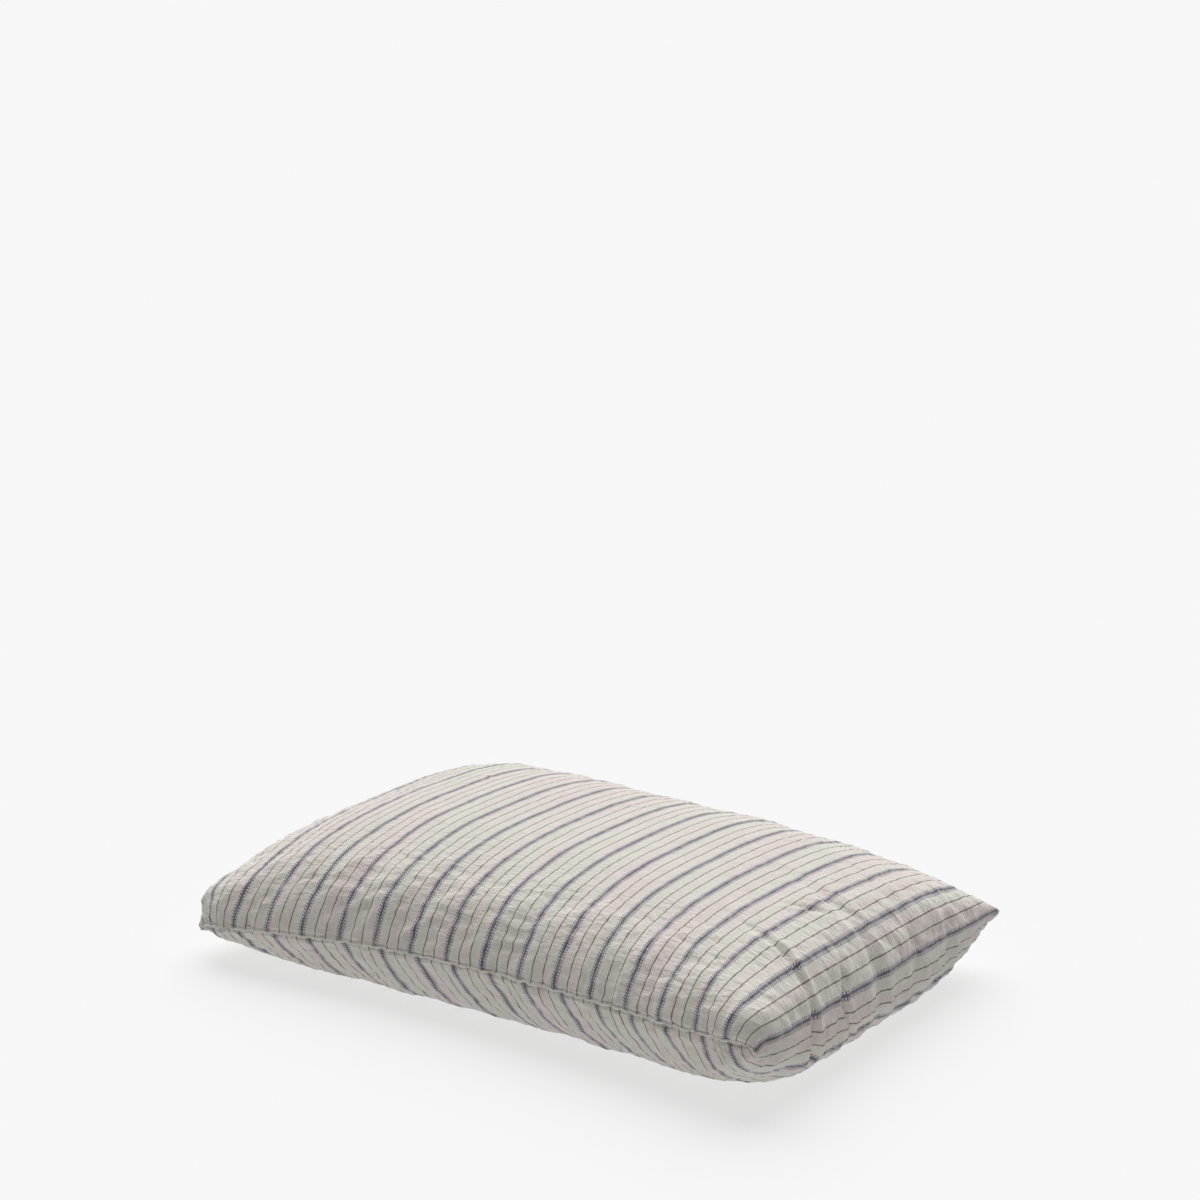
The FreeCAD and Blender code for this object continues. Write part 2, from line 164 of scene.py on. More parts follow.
# Heights over the seam and under it, and how much they change from the middle to the fold.
TOP_RISE = 82.5 * MM
TOP_TILT = -0.05
UNDER_DEPTH = 104 * MM
UNDER_TILT = 0.025
# Fullness and roundness of each side's profiles, as swell() takes them.
TOP_FULLNESS_AT_MOUTH = 4.93
TOP_FULLNESS_AT_FOLD = 3.03
TOP_ROUNDNESS = 0.635
TOP_ACROSS = (2.96, 0.617)
UNDER_ALONG = (3.72, 0.566)
UNDER_ACROSS = (2.99, 0.796)
# The underside eases onto the floor over this height.
FLOOR_EASE = 2.4 * MM


def swell(place, fullness, roundness):
    """A profile that is 1 in the middle and 0 at -1 and 1. More fullness makes it boxier."""
    return (1 - np.abs(place) ** fullness) ** roundness


def nearness(along, across, corner):
    """1 at a corner, given by its signs, and 0 along the two sides away from it."""
    return (1 + corner[0] * along) / 2 * (1 + corner[1] * across) / 2


def stuffed(along, across, side):
    """Points of the plump pillow at cloth coordinates, before the cloth settles."""
    half_width = HALF_WIDTH * (1 - SIDE_PULL * (1 - along ** 2))
    x = HALF_LENGTH * LENGTH_KEPT * along * (1 + CROWDING * (1 - along ** 2))
    if side == "bottom":
        x = x + (UNDER_SHIFT + UNDER_CROWDING * along) * (1 - along ** 2) * (1 - across ** 4)
    y = half_width * across * (1 + CROWDING * (1 - across ** 2))
    sunk, bag = 0, 0
    for corner, drop, lengthwise, widthwise, bag_above, bag_below in CORNERS:
        near = nearness(along, across, corner) ** 3
        x = x + lengthwise * MM * near
        y = y + widthwise * MM * near
        sunk = sunk - drop * MM * near
        bag = bag + (bag_above if side == "top" else bag_below) * MM * near ** 2
    seam = SEAM_Z + sunk
    bag = bag * np.sqrt((1 - np.abs(along) ** BAG_POWER_ALONG) * (1 - np.abs(across) ** BAG_POWER_ACROSS))
    if side == "top":
        fullness = np.where(along < 0, TOP_FULLNESS_AT_MOUTH, TOP_FULLNESS_AT_FOLD)
        rise = TOP_RISE * swell(along, fullness, TOP_ROUNDNESS) * swell(across, *TOP_ACROSS)
        z = seam + rise * (1 + TOP_TILT * along) + bag
    else:
        depth = UNDER_DEPTH * swell(along, *UNDER_ALONG) * swell(across, *UNDER_ACROSS)
        z = seam - depth * (1 + UNDER_TILT * along) - bag
        z = (z + np.sqrt(z * z + FLOOR_EASE ** 2)) / 2
    return np.stack([x, y, z], axis=-1)


# -------------------- the cloth grid

def paired_grids(shape, first_free):
    """Vertex numbers of two grids that share their border. With first_free=0 they part at row 0."""
    top = np.arange(shape[0] * shape[1]).reshape(shape)
    bottom = top.copy()
    free = bottom[first_free:-1, 1:-1]
    bottom[first_free:-1, 1:-1] = top.size + np.arange(free.size).reshape(free.shape)
    return top, bottom


def grid_faces(numbers, flip):
    """Quads of a grid of vertex numbers."""
    a, b = numbers[:-1, :-1], numbers[1:, :-1]
    c, d = numbers[1:, 1:], numbers[:-1, 1:]
    order = (a, d, c, b) if flip else (a, b, c, d)
    return np.stack(order, axis=-1).reshape(-1, 4)


def new_mesh(name, points, faces):
    """An object with this mesh, shaded smooth. The name says which CAD node it stands for."""
    mesh = bpy.data.meshes.new(name + SOFT)
    mesh.from_pydata([tuple(p) for p in points], [], [tuple(f) for f in faces])
    mesh.shade_smooth()
    piece = bpy.data.objects.new(name + SOFT, mesh)
    bpy.context.scene.collection.objects.link(piece)
    return piece


def read_points(mesh, kind="co"):
    flat = np.empty(len(mesh.vertices) * 3)
    mesh.vertices.foreach_get(kind, flat)
    return flat.reshape(-1, 3)


def write_points(mesh, points):
    mesh.vertices.foreach_set("co", np.ascontiguousarray(points, dtype=np.float32).ravel())
    mesh.update()


def read_normals(mesh):
    return read_points(mesh, "normal")


def add_attribute(mesh, name, values):
    layer = mesh.attributes.new(name, "FLOAT", "POINT")
    layer.data.foreach_set("value", np.ascontiguousarray(values, dtype=np.float32))


def read_attribute(mesh, name):
    values = np.empty(len(mesh.vertices))
    mesh.attributes[name].data.foreach_get("value", values)
    return values


def read_places(mesh):
    """The cloth coordinates of a mesh's vertices, along and across."""
    return read_attribute(mesh, "along"), read_attribute(mesh, "across")


def make_cloth():
    """The case's cloth over the plump shape, its grids of vertex numbers, and its flat points."""
    # The sides share their seams and the fold, and the mouth is open.
    top, bottom = paired_grids((ALONG_LINES.size, ACROSS_LINES.size), first_free=0)
    along, across = np.meshgrid(ALONG_LINES, ACROSS_LINES, indexing="ij")
    count = int(max(top.max(), bottom.max())) + 1
    points = np.zeros((count, 3))
    flat = np.zeros((count, 3))
    facing = np.zeros(count)
    place = np.zeros((count, 2))
    for numbers, side, sign in ((bottom, "bottom", -1), (top, "top", 1)):
        points[numbers] = stuffed(np.maximum(along, -1), across, side)
        facing[numbers] = sign
        place[numbers] = np.stack([along, across], axis=-1)
        flat[numbers] = np.stack(
            [along * CUT_LONG, across * CUT_WIDE, np.full_like(along, sign * MM)], axis=-1
        )
    shared = np.zeros(count, bool)
    shared[top[:, 0]] = shared[top[:, -1]] = shared[top[-1]] = True
    facing[shared] = 0
    # The two lips of the mouth lie a little apart, and each turns in behind its edge.
    for numbers, sign in ((top, 1), (bottom, -1)):
        points[numbers[1, 1:-1], 2] += sign * LIP_RISE
        points[numbers[0, 1:-1], 2] += sign * TURNED_LIP_RISE
    points[top[0], 0] += TURNED_IN
    points[bottom[0, 1:-1], 0] += TURNED_IN
    faces = np.concatenate([grid_faces(top, False), grid_faces(bottom, True)])
    piece = new_mesh("case_cloth", points, faces)
    mesh = piece.data
    add_attribute(mesh, "along", place[:, 0])
    add_attribute(mesh, "across", place[:, 1])
    add_attribute(mesh, "facing", facing)
    add_creases(mesh, top)
    return piece, top, bottom, flat


def loop_vertices(mesh):
    loops = np.empty(len(mesh.loops), dtype=np.int32)
    mesh.loops.foreach_get("vertex_index", loops)
    return loops


def write_map(mesh, strip, thread):
    """The cloth map from values at the face corners."""
    layer = mesh.uv_layers.new(name="cloth")
    layer.uv.foreach_set("vector", np.stack([strip, thread], axis=-1).astype(np.float32).ravel())


def add_cloth_map(mesh, top_faces):
    """The case's map: distance across the stripes from the fold, and along them from the middle."""
    loops = loop_vertices(mesh)
    sign = np.where(np.arange(len(loops)) < top_faces * 4, -1.0, 1.0)
    along, across = read_places(mesh)
    write_map(mesh, sign * (1 - along[loops]) * CUT_LONG, across[loops] * CUT_WIDE)


SEAM_CRISPNESS = 0.75
FOLD_CRISPNESS = 0.45


def add_creases(mesh, top):
    """The sewn sides stay crisp when the grid is subdivided, and the fold less so."""
    crisp = {}
    lines = ((top[:, 0], SEAM_CRISPNESS), (top[:, -1], SEAM_CRISPNESS), (top[-1], FOLD_CRISPNESS))
    for line, strength in lines:
        for first, last in zip(line[:-1], line[1:]):
            crisp[tuple(sorted((int(first), int(last))))] = strength
    layer = mesh.attributes.new("crease_edge", "FLOAT", "EDGE")
    for edge in mesh.edges:
        strength = crisp.get(tuple(sorted(edge.vertices)))
        if strength:
            layer.data[edge.index].value = strength


# -------------------- the cloth settles

# How firmly the cloth is held to the plump shape, and how much less firmly at its edges.
HOLD = 0.12
EDGE_FREEDOM = 0.96
FREE_ZONE = (0.5, 1.0)
SETTLE_FRAMES = 40
# Blender's own cloth settings while the case settles.
CLOTH_SETTINGS = {
    "quality": 6,
    "mass": 0.0002,
    "tension_stiffness": 30,
    "compression_stiffness": 30,
    "shear_stiffness": 8,
    "bending_stiffness": 0.15,
    "tension_damping": 8,
    "compression_damping": 8,
    "shear_damping": 5,
    "bending_damping": 0.8,
    "air_damping": 3,
    "use_pressure": True,
    "uniform_pressure_force": 3.2,
    "vertex_group_mass": "held",
    "pin_stiffness": 1.0,
}


def run_cloth(piece, flat):
    """Positions of the vertices after the cut cloth has settled over the filling."""
    twin = piece.copy()
    twin.data = piece.data.copy()
    twin.name = "settling"
    bpy.context.scene.collection.objects.link(twin)
    twin.shape_key_add(name="Basis")
    cut = twin.shape_key_add(name="cut")
    cut.data.foreach_set("co", flat.astype(np.float32).ravel())
    held = twin.vertex_groups.new(name="held")
    along, across = read_places(piece.data)
    edge = np.maximum(np.abs(along), np.abs(across))
    weights = HOLD * (1 - EDGE_FREEDOM * smooth_step(edge, *FREE_ZONE))
    for number, weight in enumerate(weights):
        held.add([number], float(weight), "REPLACE")
    cloth = twin.modifiers.new("settle", "CLOTH")
    for name, value in CLOTH_SETTINGS.items():
        setattr(cloth.settings, name, value)
    cloth.settings.effector_weights.gravity = 0
    cloth.settings.rest_shape_key = cut
    cloth.collision_settings.use_collision = False
    cloth.point_cache.frame_start = 1
    cloth.point_cache.frame_end = SETTLE_FRAMES
    scene = bpy.context.scene
    for number in range(1, SETTLE_FRAMES + 1):
        scene.frame_set(number)
    graph = bpy.context.evaluated_depsgraph_get()
    settled = read_points(twin.evaluated_get(graph).data)
    bpy.data.objects.remove(twin)
    scene.frame_set(1)
    return settled


def blurred(values, times):
    """Rows of values over a grid, averaged with their neighbours a number of times."""
    for _ in range(times):
        wider = np.pad(values, ((1, 1), (1, 1), (0, 0)), mode="edge")
        values = (wider[:-2, 1:-1] + wider[2:, 1:-1] + wider[1:-1, :-2] + wider[1:-1, 2:]) / 4
    return values


def side_by_side(values, top, bottom, changed, width=3):
    """Values at the cloth's vertices, changed one side at a time and averaged where sides meet."""
    total = np.zeros((len(values), width))
    count = np.zeros((len(values), 1))
    for numbers in (top, bottom):
        total[numbers] += changed(values[numbers])
        count[numbers] += 1
    return total / count


def blurred_cloth(values, top, bottom, times):
    return side_by_side(values, top, bottom, lambda grid: blurred(grid, times))


# Where the settled folds are taken, in cloth coordinates, and how much of them there.
FOLD_ZONE = (0.45, 0.9)
SEAM_ZONE = (0.55, 0.95)
MOUTH_ZONE = (0.3, 0.8)
SEAM_SHARE = 0.45
LEAST_SHARE = 0.12


def influence(along, across):
    """How much of the settled folds each spot takes: most at the fold, little on the crown."""
    end = smooth_step(along, *FOLD_ZONE)
    seam = SEAM_SHARE * smooth_step(np.abs(across), *SEAM_ZONE) * (1 - smooth_step(-along, *MOUTH_ZONE))
    return np.maximum(np.maximum(end, seam), LEAST_SHARE)


# Corners whose tip is drawn in, so that the filling bulges round it: the corner's signs, the
# radius left in plan, the bend of the tip, and how far the tip itself is drawn in.
TUCKED_CORNERS = (
    ((-1, -1), 34 * MM, 12 * MM, 21 * MM),
    ((1, -1), 36 * MM, 16 * MM, 14 * MM),
)
TUCK_FROM = 0.8
MOST_TURN = math.pi * 0.8
TUCK_CLEAR_OF_FLOOR = 30 * MM
DRAWN_ZONE = (0.90, 1.0)
DRAWN_SHARES = (0.6, 0.8)


def tuck_corners(points, along, across):
    """Bend the tips of the tucked corners down and in, so that they end in a round nose."""
    low, high = points.min(axis=0), points.max(axis=0)
    for corner, radius, bend, drawn in TUCKED_CORNERS:
        corner = np.array(corner)
        centre = np.where(corner > 0, high[:2], low[:2]) - corner * radius
        beyond = np.maximum((points[:, :2] - centre) * corner, 0)
        reach = np.linalg.norm(beyond, axis=1)
        heading = unit(beyond) * corner
        excess = np.where(beyond.min(axis=1) > 0, np.maximum(reach - radius * TUCK_FROM, 0), 0)
        turn = np.minimum(excess / bend, MOST_TURN)
        points[:, :2] -= heading * (excess - bend * np.sin(turn))[:, None]
        points[:, 2] -= bend * (1 - np.cos(turn)) * smooth_step(points[:, 2], 0, TUCK_CLEAR_OF_FLOOR)
        pull = drawn * smooth_step(nearness(along, across, corner), *DRAWN_ZONE)
        points[:, :2] -= pull[:, None] * DRAWN_SHARES * corner
    return points


NOSE_BLUR = 10
NOSE_ZONE = (0.93, 0.985)


def round_nose(points, along, across, top, bottom):
    """Smooth the tip of the front corner at the mouth, so that no point stands out of it."""
    near = nearness(along, across, (-1, -1))
    smooth = blurred_cloth(points, top, bottom, NOSE_BLUR)
    return points + (smooth - points) * smooth_step(near, *NOSE_ZONE)[:, None]


EAR_CURL = 10 * MM
EAR_CURL_POWER = 16
EAR_DIP = 13 * MM
EAR_DIP_POWER = 7


def shape_ear(points, along, across):
    """The free corner behind the fold is a thin ear: it dips, and its tip curls up again."""
    near = nearness(along, across, (1, 1))
    points[:, 2] += EAR_CURL * near ** EAR_CURL_POWER - EAR_DIP * near ** EAR_DIP_POWER
    return points


MOST_SHIFT = 20 * MM
# The share of the simulation's overall swell that is taken out again.
SHAPE_KEPT = 0.85
SWELL_BLUR = 40
OFF_THE_FLOOR = 0.3 * MM


def settle(piece, top, bottom, flat):
    """Give the cloth the folds of the settled one, and keep the pillow's overall shape."""
    plump = read_points(piece.data)
    along, across = read_places(piece.data)
    along = np.clip(along, -1, 1)
    settled = plump.copy()
    shift = run_cloth(piece, flat) - plump
    length = np.linalg.norm(shift, axis=1, keepdims=True)
    shift *= np.minimum(1, MOST_SHIFT / np.maximum(length, 1e-9))
    overall = blurred_cloth(shift, top, bottom, SWELL_BLUR)
    settled += (shift - SHAPE_KEPT * overall) * influence(along, across)[:, None]
    settled = shape_ear(tuck_corners(settled, along, across), along, across)
    settled = round_nose(settled, along, across, top, bottom)
    settled[:, 2] = np.maximum(settled[:, 2], OFF_THE_FLOOR)
    write_points(piece.data, settled)


# The pattern follows the real length of the cloth for this far in from each edge.
TRUE_REACH_ALONG = 75 * MM
TRUE_REACH_ACROSS = 70 * MM
STEP_BLUR = 2


def paced(spots, lines, reach):
    """Cloth coordinates of a grid's rows, spaced by their real distances near both ends.

    lines holds the rows' own coordinates, and reach how far in from each end they are respaced.
    """
    steps = np.linalg.norm(np.diff(spots, axis=0), axis=-1)
    steps = blurred(steps[..., None], STEP_BLUR)[..., 0]
    coordinates = np.repeat(lines[:, None], steps.shape[1], axis=1)
    low = int(np.argmax(lines >= -1))
    inner_low = int(np.argmax(lines >= -1 + reach))
    inner_high = lines.size - 1 - int(np.argmax(lines[::-1] <= 1 - reach))
    run = np.cumsum(steps[low:inner_low], axis=0)
    coordinates[low + 1:inner_low + 1] = -1 + (lines[inner_low] + 1) * run / run[-1]
    run = np.cumsum(steps[inner_high:][::-1], axis=0)[::-1]
    coordinates[inner_high:-1] = 1 - (1 - lines[inner_high]) * run / run[0]
    return coordinates


def pace_pattern(piece, top, bottom):
    """Move the cloth coordinates near the edges so that nothing drawn on the cloth is stretched."""

    def places(spots):
        turned = spots.transpose(1, 0, 2)
        along = paced(spots, ALONG_LINES, TRUE_REACH_ALONG / CUT_LONG)
        across = paced(turned, ACROSS_LINES, TRUE_REACH_ACROSS / CUT_WIDE).T
        return np.stack([along, across], axis=-1)

    paced_places = side_by_side(read_points(piece.data), top, bottom, places, width=2)
    for name, values in zip(("along", "across"), paced_places.T):
        piece.data.attributes[name].data.foreach_set("value", values.astype(np.float32))
    add_cloth_map(piece.data, (top.shape[0] - 1) * (top.shape[1] - 1))


# -------------------- fine shape of the cloth

def subdivide(piece, levels):
    """Subdivide the piece's mesh for good."""
    modifier = piece.modifiers.new("fine", "SUBSURF")
    modifier.levels = levels
    modifier.render_levels = levels
    modifier.uv_smooth = "NONE"
    graph = bpy.context.evaluated_depsgraph_get()
    fine = bpy.data.meshes.new_from_object(piece.evaluated_get(graph))
    piece.modifiers.clear()
    piece.data = fine
    fine.shade_smooth()


# Parts of the washed crinkle: feature size in metres across and along the stripes, and a seed.
BEND = (0.05, 0.05, 11)
BROAD = (0.040, 0.052, 21)
PLEAT = (0.012, 0.030, 31)
CROSS = (0.026, 0.011, 41)
SLANT = (0.030, 0.013, 46)
FINE = (0.0075, 0.0075, 51)
PLEATED = (0.08, 0.06, 61)
BLOTCH = (0.017, 0.021, 71)

# How far the bend moves the pleats, and the parts' heights: of the small ones next to each other,
# and then of all in millimetres.
BEND_BY = 5 * MM
PLEAT_SHARE, CROSS_SHARE, SLANT_SHARE, FINE_SHARE = 0.26, 0.40, 0.16, 0.11
LESS_CROSS_IN_PLEATS = 0.6
BROAD_RISE, BLOTCH_RISE, SMALL_RISE = 0.85, 0.26, 1.55

# The cloth is drawn smooth over the crown, and slack near its edges.
SLACK_ON_CROWN = 0.62
SLACK_AT_EDGE = 2.1
SLACK_ZONE = (0.42, 0.90)
END_POWER = 1.5


def waves(part, x, y, side_seed):
    """Noise at one part's scale, for coordinates on the cloth in metres."""
    size_x, size_y, seed = part
    return noise(x / size_x, y / size_y, seed + side_seed)


def ridges(part, x, y, side_seed):
    return 1 - 2 * np.abs(waves(part, x, y, side_seed))


def crinkle(strip, thread, side_seed):
    """Height of the washed crinkle in metres, for coordinates on the cloth in metres."""
    bend = BEND_BY * waves(BEND, strip, thread, side_seed)
    broad = waves(BROAD, strip, thread, side_seed)
    pleat = ridges(PLEAT, strip + bend, thread, side_seed)
    cross = ridges(CROSS, strip, thread + bend, side_seed)
    slant = ridges(SLANT, strip + thread, strip - thread, side_seed)
    fine = waves(FINE, strip, thread, side_seed)
    pleated = 0.5 + 0.5 * waves(PLEATED, strip, thread, side_seed)
    small = PLEAT_SHARE * pleat * pleated + CROSS_SHARE * cross * (1 - LESS_CROSS_IN_PLEATS * pleated)
    small = small + SLANT_SHARE * slant + FINE_SHARE * fine
    blotch = waves(BLOTCH, strip + bend, thread - bend, side_seed)
    to_end = np.abs(1 - strip / CUT_LONG) ** END_POWER
    edge = np.maximum(np.abs(thread) / CUT_WIDE, to_end)
    slack = SLACK_ON_CROWN + SLACK_AT_EDGE * smooth_step(edge, *SLACK_ZONE)
    return MM * slack * (BROAD_RISE * broad + BLOTCH_RISE * blotch + SMALL_RISE * small)


# Light creases that the wash left in the cloth: from and to, along and across, and the height.
CREASES = (
    ((-0.42, -0.90), (-0.30, -0.82), 0.9),
    ((-0.47, -0.95), (-0.44, -0.91), 0.6),
    ((-0.25, -0.97), (-0.16, -0.88), 1.0),
    ((0.10, -0.70), (0.24, -0.66), 0.5),
    ((-0.10, 0.20), (0.02, 0.34), 0.5),
    ((0.42, 0.35), (0.50, 0.52), 0.5),
    ((-0.62, 0.30), (-0.50, 0.22), 0.6),
    ((0.77, -0.47), (0.89, -0.515), -1.0),
    ((0.70, -0.19), (0.80, -0.09), -1.3),
    ((0.74, -0.02), (0.86, 0.03), -1.0),
)
CREASE_GAIN = 1.7
CREASE_WIDTH = 3.2 * MM
CREASE_OVERRUN = 0.3
# A shallow hollow runs beside each crease.
HOLLOW_GAIN = 0.7
HOLLOW_PLACE = 7 * MM
HOLLOW_WIDTH = 4 * MM


def crease_height(along, across):
    """Height of the light creases in metres."""
    height = np.zeros_like(along)
    spot = np.stack([along * CUT_LONG, across * CUT_WIDE], axis=-1)
    scale = np.array([CUT_LONG, CUT_WIDE])
    for first, last, rise in CREASES:
        start, end = np.array(first) * scale, np.array(last) * scale
        run = end - start
        part = np.clip(((spot - start) @ run) / (run @ run), -CREASE_OVERRUN, 1 + CREASE_OVERRUN)
        away = np.linalg.norm(spot - start - part[:, None] * run, axis=1)
        fade = np.clip(1 - np.abs(part - 0.5) / (0.5 + CREASE_OVERRUN), 0, 1)
        height += CREASE_GAIN * rise * MM * fade * np.exp(-((away / CREASE_WIDTH) ** 2))
        height -= HOLLOW_GAIN * rise * MM * fade * np.exp(-(((away - HOLLOW_PLACE) / HOLLOW_WIDTH) ** 2))
    return height


# Folds that run over the closed end: across position at the fold, reach back from the fold in
# metres, half width in metres, depth in millimetres, and how far the fold drifts on its way.
END_FOLDS = (
    (-0.56, 0.085, 0.0052, 5.4, 0.08),
    (-0.335, 0.055, 0.0046, 4.2, 0.147),
    (-0.07, 0.110, 0.0110, 4.0, 0.10),
    (0.22, 0.080, 0.0100, 2.6, 0.10),
    (0.52, 0.060, 0.0090, 2.0, 0.06),
)
# A ridge on each side of a fold: its height as a share of the depth, and its place in half widths.
HIGH_RIDGE = (0.6, 1.5)
LOW_RIDGE = (0.3, -1.6)


def end_fold_height(along, across):
    """Height of the folds over the closed end in metres."""
    height = np.zeros_like(along)
    back = (1 - along) * CUT_LONG
    for place, reach, half_width, depth, drift in END_FOLDS:
        middle = (place + drift * back / reach) * CUT_WIDE
        away = (across * CUT_WIDE - middle) / half_width
        fade = np.exp(-((back / reach) ** 2))
        valley = -np.exp(-(away ** 2))
        ridge = sum(share * np.exp(-((away - beside) ** 2)) for share, beside in (HIGH_RIDGE, LOW_RIDGE))
        height += depth * MM * fade * (valley + ridge)
    return height


# The sewn edge in millimetres: its raised lip, the groove beside it, and the puckers out of it.
LIP_HEIGHT, LIP_WIDTH = 0.9, 1.0
GROOVE_DEPTH, GROOVE_PLACE, GROOVE_WIDTH = 0.7, 2.3, 1.2
GATHER_HEIGHT, LOOSE_HEIGHT, PUCKER_REACH = 1.9, 0.6, 15
# Lengths along the seam in metres: of a gather, a loose pucker and a puckered stretch.
GATHER_LENGTH, LOOSE_LENGTH, STRETCH_LENGTH = 0.010, 0.0045, 0.06
LEAST_PUCKER = 0.35
STRETCH_ZONE = (-0.3, 0.6)
# The front seam is puckered all the way from the fold to here.
FULL_PUCKER = 0.9
FULL_PUCKER_REACH = 0.28


def seam_height(strip, from_seam, front):
    """Height of the sewn edge's lip and of the puckers that run out of it, in metres."""
    lip = LIP_HEIGHT * np.exp(-((from_seam / LIP_WIDTH) ** 2))
    lip = lip - GROOVE_DEPTH * np.exp(-(((from_seam - GROOVE_PLACE) / GROOVE_WIDTH) ** 2))
    row = np.full_like(strip, 0.5)
    seed = np.where(front, 3, 9)
    gathers = 1 - 2 * np.abs(noise(strip / GATHER_LENGTH, row, seed))
    loose = noise(strip / LOOSE_LENGTH, row, seed + 1)
    stretch = smooth_step(noise(strip / STRETCH_LENGTH, row, seed + 2), *STRETCH_ZONE)
    share = LEAST_PUCKER + (1 - LEAST_PUCKER) * stretch
    share = np.where(front & (np.abs(strip) < FULL_PUCKER_REACH), np.maximum(share, FULL_PUCKER), share)
    pucker = (GATHER_HEIGHT * gathers + LOOSE_HEIGHT * loose) * share * np.exp(-from_seam / PUCKER_REACH)
    return MM * (lip + pucker)


UNDERSIDE_SEED = 100
LOWEST_CLOTH = 0.2 * MM


def add_fine_shape(piece):
    """Crinkles, creases, seam puckers and end folds, all as real height on the mesh."""
    mesh = piece.data
    along, across = read_places(mesh)
    along = np.clip(along, -1, 1)
    facing = read_attribute(mesh, "facing")
    strip = (1 - along) * CUT_LONG
    thread = across * CUT_WIDE
    on_top = facing >= 0
    side_seed = np.where(on_top, 0, UNDERSIDE_SEED)
    from_seam = (CUT_WIDE - np.abs(thread)) / MM
    inside = smooth_step(np.abs(facing), 0, 1)
    height = crinkle(strip, thread, side_seed) * inside
    height += crease_height(along, across) * inside * on_top
    height += end_fold_height(along, across)
    height += seam_height(strip, from_seam, across < 0)
    points = read_points(mesh) + read_normals(mesh) * height[:, None]
    points[:, 2] = np.maximum(points[:, 2], LOWEST_CLOTH)
    write_points(mesh, points)


# -------------------- materials

SHEEN_ROUGHNESS = 0.6


class Graph:
    """Short hands for building one material's nodes."""

    def __init__(self, name, roughness, specular, sheen):
        self.material = bpy.data.materials.new(name)
        self.material.use_nodes = True
        self.tree = self.material.node_tree
        self.shader = self.tree.nodes["Principled BSDF"]
        self.fill(self.shader, {
            "Roughness": roughness,
            "Specular IOR Level": specular,
            "Sheen Weight": sheen,
            "Sheen Roughness": SHEEN_ROUGHNESS,
        })

    def fill(self, node, inputs):
        """Give a node's inputs their constants and links."""
        for name, value in inputs.items():
            if isinstance(value, (int, float, tuple)):
                node.inputs[name].default_value = value
            else:
                self.tree.links.new(value, node.inputs[name])

    def node(self, kind, inputs=None, **settings):
        made = self.tree.nodes.new(kind)
        for name, value in settings.items():
            setattr(made, name, value)
        self.fill(made, inputs or {})
        return made

    def math(self, operation, *values):
        return self.node("ShaderNodeMath", dict(enumerate(values)), operation=operation).outputs[0]

    def times(self, first, second):
        return self.math("MULTIPLY", first, second)

    def line(self, value, slope, start):
        """start plus slope times the value."""
        return self.math("MULTIPLY_ADD", value, slope, start)

    def gap(self, first, second):
        """How far apart two values are."""
        return self.math("ABSOLUTE", self.math("SUBTRACT", first, second))

    def wave(self, value, length):
        """A sine with one turn to each length."""
        return self.math("SINE", self.times(value, 2 * math.pi / length))

    def band(self, value, low, high, top=1.0):
        """0 below low, top above high, smooth between."""
        inputs = {"Value": value, "From Min": low, "From Max": high, "To Max": top}
        return self.node("ShaderNodeMapRange", inputs, interpolation_type="SMOOTHSTEP").outputs["Result"]

    def place(self):
        """The object's own coordinates in metres."""
        return self.node("ShaderNodeTexCoord").outputs["Object"]

    def split(self, vector):
        return self.node("ShaderNodeSeparateXYZ", {0: vector}).outputs

    def speckle(self, place, scale=1.0, detail=2.0, roughness=0.5, distortion=0.0):
        inputs = {"Vector": place, "Scale": scale, "Detail": detail, "Roughness": roughness}
        inputs["Distortion"] = distortion
        return self.node("ShaderNodeTexNoise", inputs).outputs["Fac"]

    def mix(self, share, first, second):
        return self.node("ShaderNodeMix", {0: share, 6: first, 7: second}, data_type="RGBA").outputs[2]

    def bump(self, height, distance, strength, below=None):
        inputs = {"Strength": strength, "Distance": distance, "Height": height}
        if below is not None:
            inputs["Normal"] = below
        return self.node("ShaderNodeBump", inputs).outputs[0]

    def finish(self, colour, normal=None, roughness=None):
        inputs = {"Base Color": colour, "Normal": normal, "Roughness": roughness}
        self.fill(self.shader, {name: value for name, value in inputs.items() if value is not None})
        return self.material


ECRU = (0.614, 0.581, 0.538, 1)
ECRU_GREEN = (0.590, 0.579, 0.512, 1)
ECRU_PINK = (0.622, 0.548, 0.530, 1)
SLUB_DARK = (0.40, 0.37, 0.32, 1)
SLUB_PALE = (0.88, 0.86, 0.80, 1)
MOTTLE_DARK = (0.46, 0.42, 0.38, 1)
LILAC = (0.40, 0.375, 0.455, 1)
BLUE = (0.066, 0.057, 0.102, 1)
BROWN = (0.105, 0.083, 0.058, 1)
# Painted highlight on the seam's raised lip, and painted shade in the groove beside it.
PAINTED_LIP_HIGHLIGHT = (0.80, 0.78, 0.72, 1)
PAINTED_GROOVE_SHADE = (0.20, 0.185, 0.17, 1)

# The linen's lengths are in millimetres of cloth. Its speckles: feature size across and along the
# stripes, detail, and roughness.
SPECKLES = {
    "wander": (60.0, 16.0, 3.0, 0.5),
    "jitter": (9.0, 1.7, 2.0, 0.7),
    "fade": (30.0, 14.0, 2.0, 0.5),
    "yarn": (4.0, 7.0, 3.0, 0.5),
    "tint": (13.0, 260.0, 1.0, 0.5),
    "mottle": (24.0, 30.0, 4.0, 0.5),
    "warp slub": (0.55, 9.0, 2.0, 0.5),
    "weft slub": (9.0, 0.55, 2.0, 0.5),
    "crinkle": (8.0, 3.2, 3.0, 0.6),
}

